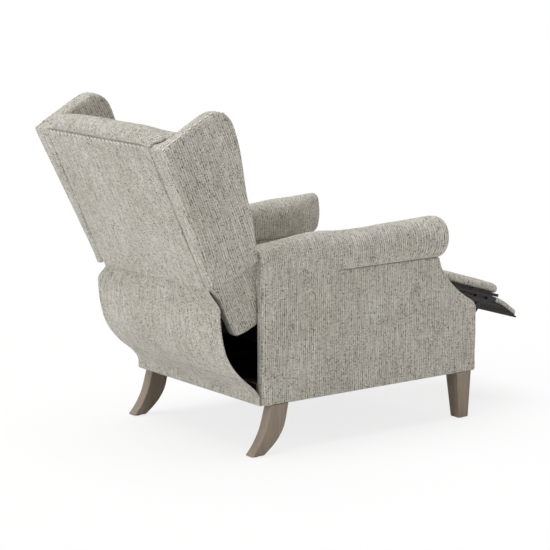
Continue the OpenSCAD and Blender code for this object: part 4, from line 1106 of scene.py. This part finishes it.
def top_roll_shell():
    """The hump carried across the chair: 62 stations of a closed section in depth and height
    along the back. Each point's station is a share of the way to the wing's inner face, and
    the hump drops towards the wings by 34 mm times the 2.6th power of the way there."""
    section = curve(np.array(HUMP, float), 96, True)
    centre = np.array([46.0, 450.0])
    stations = np.concatenate([[-1, -0.998, -0.99], np.linspace(-0.975, 0.975, 56),
                               [0.99, 0.998, 1]])
    shrink = np.concatenate([[0.10, 0.05, 0.015], np.zeros(56), [0.015, 0.05, 0.10]])
    rings = []
    for t, s in zip(stations, shrink):
        q = section + (centre - section) * s
        wall = wing_inner(q[:, ::-1]) - 0.5
        share = np.clip((abs(t) - 0.5) / 0.5, 0, 1) ** 2.6
        lower = ROLL_DROP * share * ease((q[:, 1] - 440) / 40)
        rings.append(on_back(t * wall, q[:, 1] - lower, q[:, 0]))
    rings = np.array(rings)
    return shell(rings, around=True, tips=(rings[0].mean(0), rings[-1].mean(0))), rings


shells, rings = top_roll_shell()
top_roll = piece("back_top_roll", [shells], COVER)
u, v, full = round_map(rings)
lay_along(top_roll, u, v, full)
ripple(top_roll, 0.0011, 8, 0.09,
       lambda co: ease((co[:, 2] * 1000 - 930) / 30) * ease((0.262 - np.abs(co[:, 0])) / 0.02))
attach(top_roll, "back")
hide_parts("back_top_pad")
measure(top_roll)

# %% [markdown]
# ## The loose tail
#
# A loose cloth joins the outer back to the rear rail, so that the chair has no gap when the
# back moves. It bags out behind the chair. It crosses two joints, from the base to the seat
# carriage and on to the back, so it is cut in two at a line where it follows the carriage.

# %% Tail
TAIL_SHARES = np.array([[0, 0], [.02, .063], [.154, .132], [.552, .279], [.839, .45],
                        [.972, .658], [1.007, .877], [1, 1]])
TAIL_START, TAIL_REACH = np.array([-34.0, 153.0]), np.array([141.5, 333.6])
TAIL_HEM, TAIL_TUCK = [-36.5, 146.0], [109.8, 495.5]
TAIL_SPLIT = 0.26
TAIL_FOLD, TAIL_BELLY, TAIL_CURL = 2.2, 3.0, 3.0
TAIL_NARROWING = 51


def tail_line(count=120):
    """The tail's section in depth and height, and the distance along it."""
    line = curve(np.vstack([TAIL_HEM, TAIL_SHARES * TAIL_REACH + TAIL_START, TAIL_TUCK]), count)
    run = np.concatenate([[0], np.cumsum(np.linalg.norm(np.diff(line, axis=0), axis=1))])
    return line, run


def tail_grid(from_share, to_share, inside, thick, half=315.0, rows=44):
    """A stretch of the tail as a thin closed sheet: soft vertical folds of a few millimetres
    near its two sides, a slight belly in the middle, and narrower at the top."""
    line, run = tail_line()
    normal = -normals_2d(line, closed=False)
    s = np.linspace(from_share, to_share, rows) * run[-1]
    y, z = (np.interp(s, run, line[:, k]) for k in (0, 1))
    ny, nz = (np.interp(s, run, normal[:, k]) for k in (0, 1))
    width = mix(half, half - TAIL_NARROWING, ease((s - run[-1] + 60) / 60))
    t = np.linspace(-1, 1, 100)
    x = width[:, None] * t[None]
    share = (s / run[-1])[:, None]
    free = ease(share / 0.16) * ease((1 - share) / 0.14)
    edge = np.abs(t)[None] ** 6
    fold = TAIL_FOLD * np.sin(t * 17 + share * 3.1) * (0.25 + edge)
    belly = TAIL_BELLY * (1 - t[None] ** 2)
    out = free * (fold + belly) - TAIL_CURL * edge * free

    def at(offset):
        d = out + offset
        return np.stack([x, y[:, None] + ny[:, None] * d, z[:, None] + nz[:, None] * d], -1)

    front, rear = at(-inside - thick), at(-inside)
    grid = np.concatenate([rear, front[:, ::-1]], 1)
    v = np.repeat(s, grid.shape[1])
    u = np.tile(np.concatenate([x[0], x[0][::-1]]), rows)
    return shell(grid, around=True, zip_ends=True), u, v, run[-1]


def make_tail(name, span, inside, thick, material, half=315.0):
    """One stretch of cover or backing, laid with its warp up the chair."""
    made, u, v, length = tail_grid(*span, inside, thick, half)
    sheet = piece(name, [made], material)
    lay_along(sheet, u, v)
    return measure(sheet), length


line, run = tail_line()
split_at = np.array([np.interp(TAIL_SPLIT * run[-1], run, line[:, k]) for k in (0, 1)])
split_point = to_frame([0.0, *split_at])
tail_foot, tail_head = to_frame([0.0, *line[0]]), to_frame([0.0, *line[-1]])
SPANS = (("lower", (0.0, TAIL_SPLIT), ("base", "seat"), (tail_foot, split_point)),
         ("upper", (TAIL_SPLIT, 1.0), ("seat", "back"), (split_point, tail_head)))
for word, span, bodies, ends in SPANS:
    backing, length = make_tail(f"tail_backing_{word}", span, 2.6, 0.8, LINING_AND_SHADE, 309.0)
    cloth, length = make_tail(f"tail_cover_{word}", span, 0.0, 1.8, COVER)
    for sheet, slot_name in ((cloth, "upholstery"), (backing, "black_cloth")):
        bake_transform(sheet)
        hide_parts("tail_panel")

# %% [markdown]
# ## Black sheets of painted shade below and behind
#
# Under the frame, behind the springs and round the rear rail, thin black sheets stand as
# painted shade: they are put where the inside is only in shadow, and make it look black
# through the gap beside the tail. Each is a stretched sheet a millimetre thick that sags a
# little between its tacks.
# A last cloth hangs between the seat and the back.

# %% Sheets of painted shade
def stretched_sheet(corner, along, across_by, sag, thick=1.0, rows=24, cols=40):
    """A flat sheet from a corner and its two edges, sunk in the middle by the vector sag
    times sin(pi a) sin(pi b), and closed over its thickness."""
    a, b = np.meshgrid(np.linspace(0, 1, rows), np.linspace(0, 1, cols), indexing="ij")
    corner, along, across_by, sag = (np.array(k, float) for k in (corner, along, across_by, sag))
    lift = (np.sin(math.pi * a) * np.sin(math.pi * b))[..., None] * sag
    top = corner + a[..., None] * along + b[..., None] * across_by + lift
    normal = np.cross(along, across_by)
    normal *= thick / np.linalg.norm(normal)
    grid = np.concatenate([top, (top + normal)[:, ::-1]], 1)
    return shell(grid, around=True, zip_ends=True)


def folded_cloth(path, half, thick=0.8):
    """Cloth laid along a path of depth and height, carried from -half to half across."""
    out = normals_2d(path, closed=False) * thick
    x = np.linspace(-half, half, 60)
    inner = np.stack([np.broadcast_to(k, (60, len(path))).T for k in path.T], -1)
    outer = np.stack([np.broadcast_to(k, (60, len(path))).T for k in (path + out).T], -1)
    across_it = np.broadcast_to(x, inner.shape[:2])[..., None]
    grid = np.concatenate([np.concatenate([across_it, outer], -1),
                           np.concatenate([across_it, inner], -1)[:, ::-1]], 1)
    return shell(grid, around=True, zip_ends=True)


def rail_path():
    """Over the rear rail: up its rear face, over the top and down the front."""
    corners = [(-38.2, 147.4, 0), (-38.2, 208.6, 3), (-61.8, 208.6, 3), (-61.8, 147.4, 0)]
    return outline(corners, 8.0)[:-2]


# Painted shade: black sheets under the frame, behind the back and round the rear rail make the
# inside look black.
low_left, low_right = on_back(-251, -163, 10.5), on_back(251, -163, 10.5)
high_left = on_back(-251, -16, 10.5)
SHADE_SHEETS = (
    ("shade_sheet_below", "base", (0.588, 0.600), ["front_rail", "rear_rail"],
     stretched_sheet((-294, -40, 147.2), (0, -622, 0), (588, 0, 0), (0, 0, -3))),
    ("shade_sheet_behind_back", "back", (0.502, 0.147), ["back_side_rails"],
     stretched_sheet(low_left, high_left - low_left, low_right - low_left, (0, -2, 0))),
    ("shade_sheet_round_rail", "base", (0.586, 0.145), ["rear_rail"], folded_cloth(rail_path(), 293)),
)
for name, body, flat, rests, shells in SHADE_SHEETS:
    sheet = piece(name, [shells], LINING_AND_SHADE)
    lay_cloth(sheet)
    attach(sheet, body)
    measure(sheet)

# %% The flap between seat and back
FLAP = curve([(-115.0, 322), (-113, 337), (-97, 351), (-60, 369), (-24.5, 404)], 40)
flap = piece("seat_back_flap", [folded_cloth(FLAP, 200)], LINING_AND_SHADE)
lay_cloth(flap)
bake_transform(flap)
measure(flap)

# %% [markdown]
# ## Cushions
#
# A closed cushion swells until its cloth is tight, and its corners pull in. That is what a
# cloth simulation does well: the skin starts a little small, is remeshed evenly, and a gas
# pressure blows it up for twenty frames. How far a point may move is capped, and the seat's
# result is kept inside the room that the imported model holds for it.

# %% Blow up a cushion
def puff(obj, pressure=4.0, cap=0.024, voxel=0.007):
    """Even voxels, then Cloth under pressure without gravity for twenty frames. A move of
    length d becomes cap tanh(d / cap), so that no point goes further than the cap."""
    scene = bpy.context.scene
    remesh = obj.modifiers.new("even_cells", "REMESH")
    remesh.mode, remesh.voxel_size = "VOXEL", voxel
    for attempt in ("even", "blown"):
        if attempt == "blown":
            cloth = obj.modifiers.new("gas", "CLOTH")
            cloth.settings.use_pressure = True
            cloth.settings.uniform_pressure_force = pressure
            cloth.settings.effector_weights.gravity = 0.0
            cloth.point_cache.frame_start, cloth.point_cache.frame_end = 1, 20
            for step in range(1, 21):
                scene.frame_set(step)
        shape = obj.evaluated_get(bpy.context.evaluated_depsgraph_get())
        if attempt == "even":
            mesh = bpy.data.meshes.new_from_object(shape)
            obj.modifiers.clear()
            old, obj.data = obj.data, mesh
            bpy.data.meshes.remove(old)
            start = coordinates(obj)
        else:
            blown = np.empty(len(start) * 3)
            shape.data.vertices.foreach_get("co", blown)
            obj.modifiers.clear()
    scene.frame_set(1)
    move = blown.reshape(-1, 3) - start
    length = np.linalg.norm(move, axis=1)[:, None] + 1e-9
    set_coordinates(obj, start + move / length * cap * np.tanh(length / cap))
    obj.data.polygons.foreach_set("use_smooth", np.ones(len(obj.data.polygons), bool))
    obj.data.materials.clear()
    obj.data.materials.append(COVER)
    return obj


def keep_in_room(obj, node_name):
    """Limits every point to the box of the CAD node, softly: the last tenth of the way is
    squeezed, so that no flat facet shows where the box cuts."""
    low, high = (np.array(corner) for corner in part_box(node_name))
    middle, half = (low + high) / 2, (high - low) / 2
    t = (coordinates(obj) - middle) / half
    soft = 0.93 + 0.07 * np.tanh((np.abs(t) - 0.93) / 0.07)
    t = np.where(np.abs(t) > 0.93, np.sign(t) * soft, t)
    set_coordinates(obj, middle + t * half)
    return obj


def finish_cushion(obj, node_name, body, lean):
    """Cloth map, body and size of a cushion."""
    lay_cloth(obj, lean)
    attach(obj, body)
    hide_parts(node_name)
    return measure(obj)


# %% Seat cushion
def seat_shell():
    """A box cushion in the plane of width and depth, higher at the front."""
    edge = outline([(-240, -764, 34), (240, -764, 34), (240, -103, 30), (-240, -103, 30)])
    return slab(edge, (0, -430), lambda q: np.full(len(q), 350.0),
                lambda q: mix(438.0, 458.0, (q[:, 1] + 100) / -672),
                lambda q, w: np.column_stack([q, w]), rims=(16.0, 20.0), crowns=(0.0, 6.0),
                band_bulge=2.0)


seat = puff(piece("seat_cushion_cover", [seat_shell()], COVER))
keep_in_room(seat, "seat_cushion")
finish_cushion(seat, "seat_cushion", "seat", 0.0)

# %% Back cushion
def back_cushion_shell():
    """A cushion in width and height along the back: narrow between the arms, wider above."""
    edge = outline([(-219, -134, 30), (219, -134, 30), (219, 20, 90), (254, 110, 90),
                    (254, 412, 48), (-254, 412, 48), (-254, 110, 90), (-219, 20, 90)])
    top = ease((edge[:, 1] - 340) / 60)
    return slab(edge, (0, 190), lambda q: np.full(len(q), 101.0),
                lambda q: 152.0 + 8 * np.exp(-((q[:, 1] - 40) / 120) ** 2),
                lambda q, w: on_back(q[:, 0], q[:, 1], w),
                rims=(14.0 - 10 * top, 18.0 + 24 * top), crowns=(0.0, 4.0), band_bulge=2.0)


back_cushion = puff(piece("back_cushion_cover", [back_cushion_shell()], COVER), cap=0.016)
finish_cushion(back_cushion, "back_cushion", "back", LEAN)

# %% [markdown]
# ## The footrest
#
# Two pads lie one above the other. The upper one is a thin cushion on a board, with a
# rounded nose. The lower one is thinner still, bends down at its outer end, and slides out
# from under the first on a slotted plate.

# %% Footrest pads
def footrest_shell():
    """The main pad in the plane of width and reach, a slab with a wide upper rim."""
    edge = outline([(-241, -43, 16), (241, -43, 16), (241, 196, 22), (-241, 196, 22)], 16.0)
    return slab(edge, (0, 78), lambda q: np.full(len(q), -13.2), lambda q: np.full(len(q), 11.5),
                lambda q, w: on_pad(q[:, 0], q[:, 1], w), rims=(5.0, 12.0),
                crowns=(0.0, 4.0), band_bulge=1.0)


def lip_line(s):
    """The lip's middle: straight for the first half, then drooping by 27 mm."""
    shares = np.array([[0, 0], [.25, 0], [.48, 0], [.68, .22], [.86, .66], [1, 1]])
    fine = curve(shares, 80)
    return -32.3 - 27.0 * np.interp((s - 100.0) / 198.0, fine[:, 0], fine[:, 1])


def lip_shell():
    """The second pad, 17 mm thick about its drooping line."""
    edge = outline([(-234, 101, 6), (234, 101, 6), (234, 297, 16), (-234, 297, 16)], 12.0)
    return slab(edge, (0, 200), lambda q: lip_line(q[:, 1]) - 8.2,
                lambda q: lip_line(q[:, 1]) + 8.0, lambda q, w: on_pad(q[:, 0], q[:, 1], w),
                rims=(6.0, 7.5), crowns=(0.0, 0.5), band_bulge=0.3)


pad = puff(piece("footrest_pad_cover", [footrest_shell()], COVER), pressure=2.0, cap=0.004,
           voxel=0.005)
finish_cushion(pad, "footrest_pad", "footrest", -PAD_SLOPE)
lip = piece("lip_pad_cover", [lip_shell()], COVER)
finish_cushion(lip, "lip_pad", "lip", -PAD_SLOPE)

# %% [markdown]
# ## Stitching
#
# A row of thread a few millimetres from a seam is what tells the eye that this is sewn
# cloth. Each stitch is a small spindle, and the row is laid on the finished surface: every
# point of the path moves to the nearest point of the piece, and takes its normal there.

# %% Stitch rows
def on_surface(obj, path, lift):
    """The nearest surface points to a path and the normals there, in millimetres, with the
    points raised along them by the lift."""
    places, normals = [], []
    for p in to_frame(path):
        _, place, normal, _ = obj.closest_point_on_mesh(p.tolist())
        places.append(np.array(place) * 1000 - [0, DEPTH_SHIFT, 0] + lift * np.array(normal))
        normals.append(np.array(normal))
    return np.array(places), np.array(normals)


seam = on_back(np.linspace(-262, 262, 180), 441.0, 0.0)
seam_row = stitches("top_seam_stitches", *on_surface(back_panel, seam, 1.0), slant=0.5)
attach(seam_row, "back")
measure(seam_row)

# %% Wing stitch rows
wing_edge = curve(np.array(WING_REAR[3:] + WING_FRONT[:4]) * [WING_LENGTH, WING_DEPTH]
                  + [WING_LOW, 0], 200)
for word, side in SIDES:
    band = on_back(side * (wing_outer(wing_edge) - 10.5), wing_edge[:, 0], wing_edge[:, 1])
    wing = bpy.data.objects[f"wing_cover_{word}"]
    row = stitches(f"wing_stitches_{word}", *on_surface(wing, band, 2.5))
    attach(row, "back")
    measure(row)

# %% [markdown]
# ## The frame's own finishes
#
# Wooden rails, steel plates, springs and pins are already the right shape in the packed
# model, so they stay, and only get a finish: grain along the length of the rear rail, the
# side frames and the seat's side rails, the black of the lining on the other rails as
# painted shade, black coated steel for the mechanism, bright zinc for springs, pins and
# bolts.

# %% Finish the imported nodes
BOARD = wood("dark_board", (0.05, 0.045, 0.04), (0.035, 0.032, 0.03), (0.02, 0.018, 0.017),
             0, 0.7, 0.2)
FINISHES = (
    (FRAME_WOOD_ACROSS, "rear_rail"),
    (FRAME_WOOD_DEEP, "side_frame_left side_frame_right corner_blocks seat_side_rails"),
    (BOARD, "footrest_board lip_board"),
    # Painted shade: these wooden rails take the black lining, so the inside looks black through
    # the gap beside the tail.
    (LINING_AND_SHADE, "front_rail seat_front_rail seat_rear_rail back_bottom_rail back_top_rail "
             "back_side_rails"),
    (BLACK_STEEL, "carriage_plate_left carriage_plate_right guide_channels link_brackets "
                  "drive_links back_brackets footrest_arms footrest_tube slide_plates "
                  "lip_rails lip_bar push_rods carriage_tubes runners seat_mounts"),
    (ZINC, "seat_springs back_springs leg_bolts bracket_bolts link_pins back_pivot_pins "
           "footrest_pins rod_pins"),
    (PLASTIC, "leg_glides"),
)
finished = set()
for material, names in FINISHES:
    for name in names.split():
        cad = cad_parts[name]
        cad.data.materials.clear()
        cad.data.materials.append(material)
        finished.add(name)
shown = {n for n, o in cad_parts.items() if not o.hide_render}
print("nodes left without a finish:", sorted(shown - finished))

# %% [markdown]
# ## Floor, light and view
#
# The floor is a pale sheet that turns into pure white away from the chair, so the picture
# ends in white and the chair still has its shadow. The light is plain: an even sky, a wide
# soft lamp above and another behind.

# %% Floor
FLOOR_REACH = 60.0
PLAIN_WHITE = 0.80


def floor_material():
    """White paint. The camera sees four fifths of it as plain white near the chair, where the
    rest carries a faint shadow, and all of it as plain white further out."""
    material, tree, shader = fresh_material("pale_floor")
    shader.inputs["Base Color"].default_value = (0.93, 0.93, 0.93, 1)
    shader.inputs["Roughness"].default_value = 0.9
    shader.inputs["Specular IOR Level"].default_value = 0.1
    place = node(tree, "ShaderNodeTexCoord").outputs["Object"]
    away = node(tree, "ShaderNodeVectorMath", {"operation": "LENGTH"}, a0=place)
    far = node(tree, "ShaderNodeMapRange", {"interpolation_type": "SMOOTHSTEP"},
               Value=away.outputs["Value"], From_Min=0.75, From_Max=1.9)
    seen = node(tree, "ShaderNodeLightPath").outputs["Is Camera Ray"]
    glow = node(tree, "ShaderNodeEmission", None, Color=(1, 1, 1, 1), Strength=1.0)
    share = maths(tree, "MAXIMUM", far.outputs[0], PLAIN_WHITE)
    both = node(tree, "ShaderNodeMixShader", None, a0=maths(tree, "MULTIPLY", share, seen),
                a1=shader.outputs[0], a2=glow.outputs[0])
    output = next(n for n in tree.nodes if n.type == "OUTPUT_MATERIAL")
    tree.links.new(both.outputs[0], output.inputs["Surface"])
    return material


steps = np.linspace(-FLOOR_REACH, FLOOR_REACH, 13)
ground = np.stack([*np.meshgrid(steps, steps, indexing="ij"), np.zeros((13, 13))], -1)
points, faces = shell(ground)
floor_mesh = bpy.data.meshes.new("floor")
floor_mesh.from_pydata(points.tolist(), [], faces[0].tolist())
floor_mesh.materials.append(floor_material())
floor = bpy.data.objects.new("floor", floor_mesh)
bpy.context.scene.collection.objects.link(floor)

# %% Sky and lamps
SKY = 0.40
WARM, COOL = (1.0, 0.968, 0.915), (0.965, 0.985, 1.0)
world = bpy.data.worlds.new("plain_sky")
bpy.context.scene.world = world
world.use_nodes = True
sky_tree = world.node_tree
sky_tree.nodes.clear()
path = node(sky_tree, "ShaderNodeLightPath")
seen = maths(sky_tree, "MAXIMUM", path.outputs["Is Camera Ray"],
             maths(sky_tree, "MAXIMUM", path.outputs["Is Glossy Ray"],
                   path.outputs["Is Transmission Ray"]))
sky = node(sky_tree, "ShaderNodeBackground", None, Color=(*WARM, 1), Strength=SKY)
white = node(sky_tree, "ShaderNodeBackground", None, Color=(1, 1, 1, 1), Strength=1.0)
node(sky_tree, "ShaderNodeOutputWorld", None, Surface=node(
    sky_tree, "ShaderNodeMixShader", None, a0=seen, a1=sky.outputs[0],
    a2=white.outputs[0]).outputs[0])

for name, strength, width, towards in (("lamp_above", 1.95, 50, (0.10, 0.16, 0.97)),
                                       ("lamp_behind", 0.78, 60, (0.22, 0.93, 0.28))):
    lamp = bpy.data.lights.new(name, "SUN")
    lamp.energy, lamp.angle, lamp.color = strength, math.radians(width), COOL
    lamp_object = bpy.data.objects.new(name, lamp)
    bpy.context.scene.collection.objects.link(lamp_object)
    away = np.array(towards) / np.linalg.norm(towards)
    lamp_object.rotation_euler = (math.acos(away[2]), 0.0,
                                  math.atan2(away[1], away[0]) + math.pi / 2)
bpy.context.scene.view_settings.view_transform = "Standard"
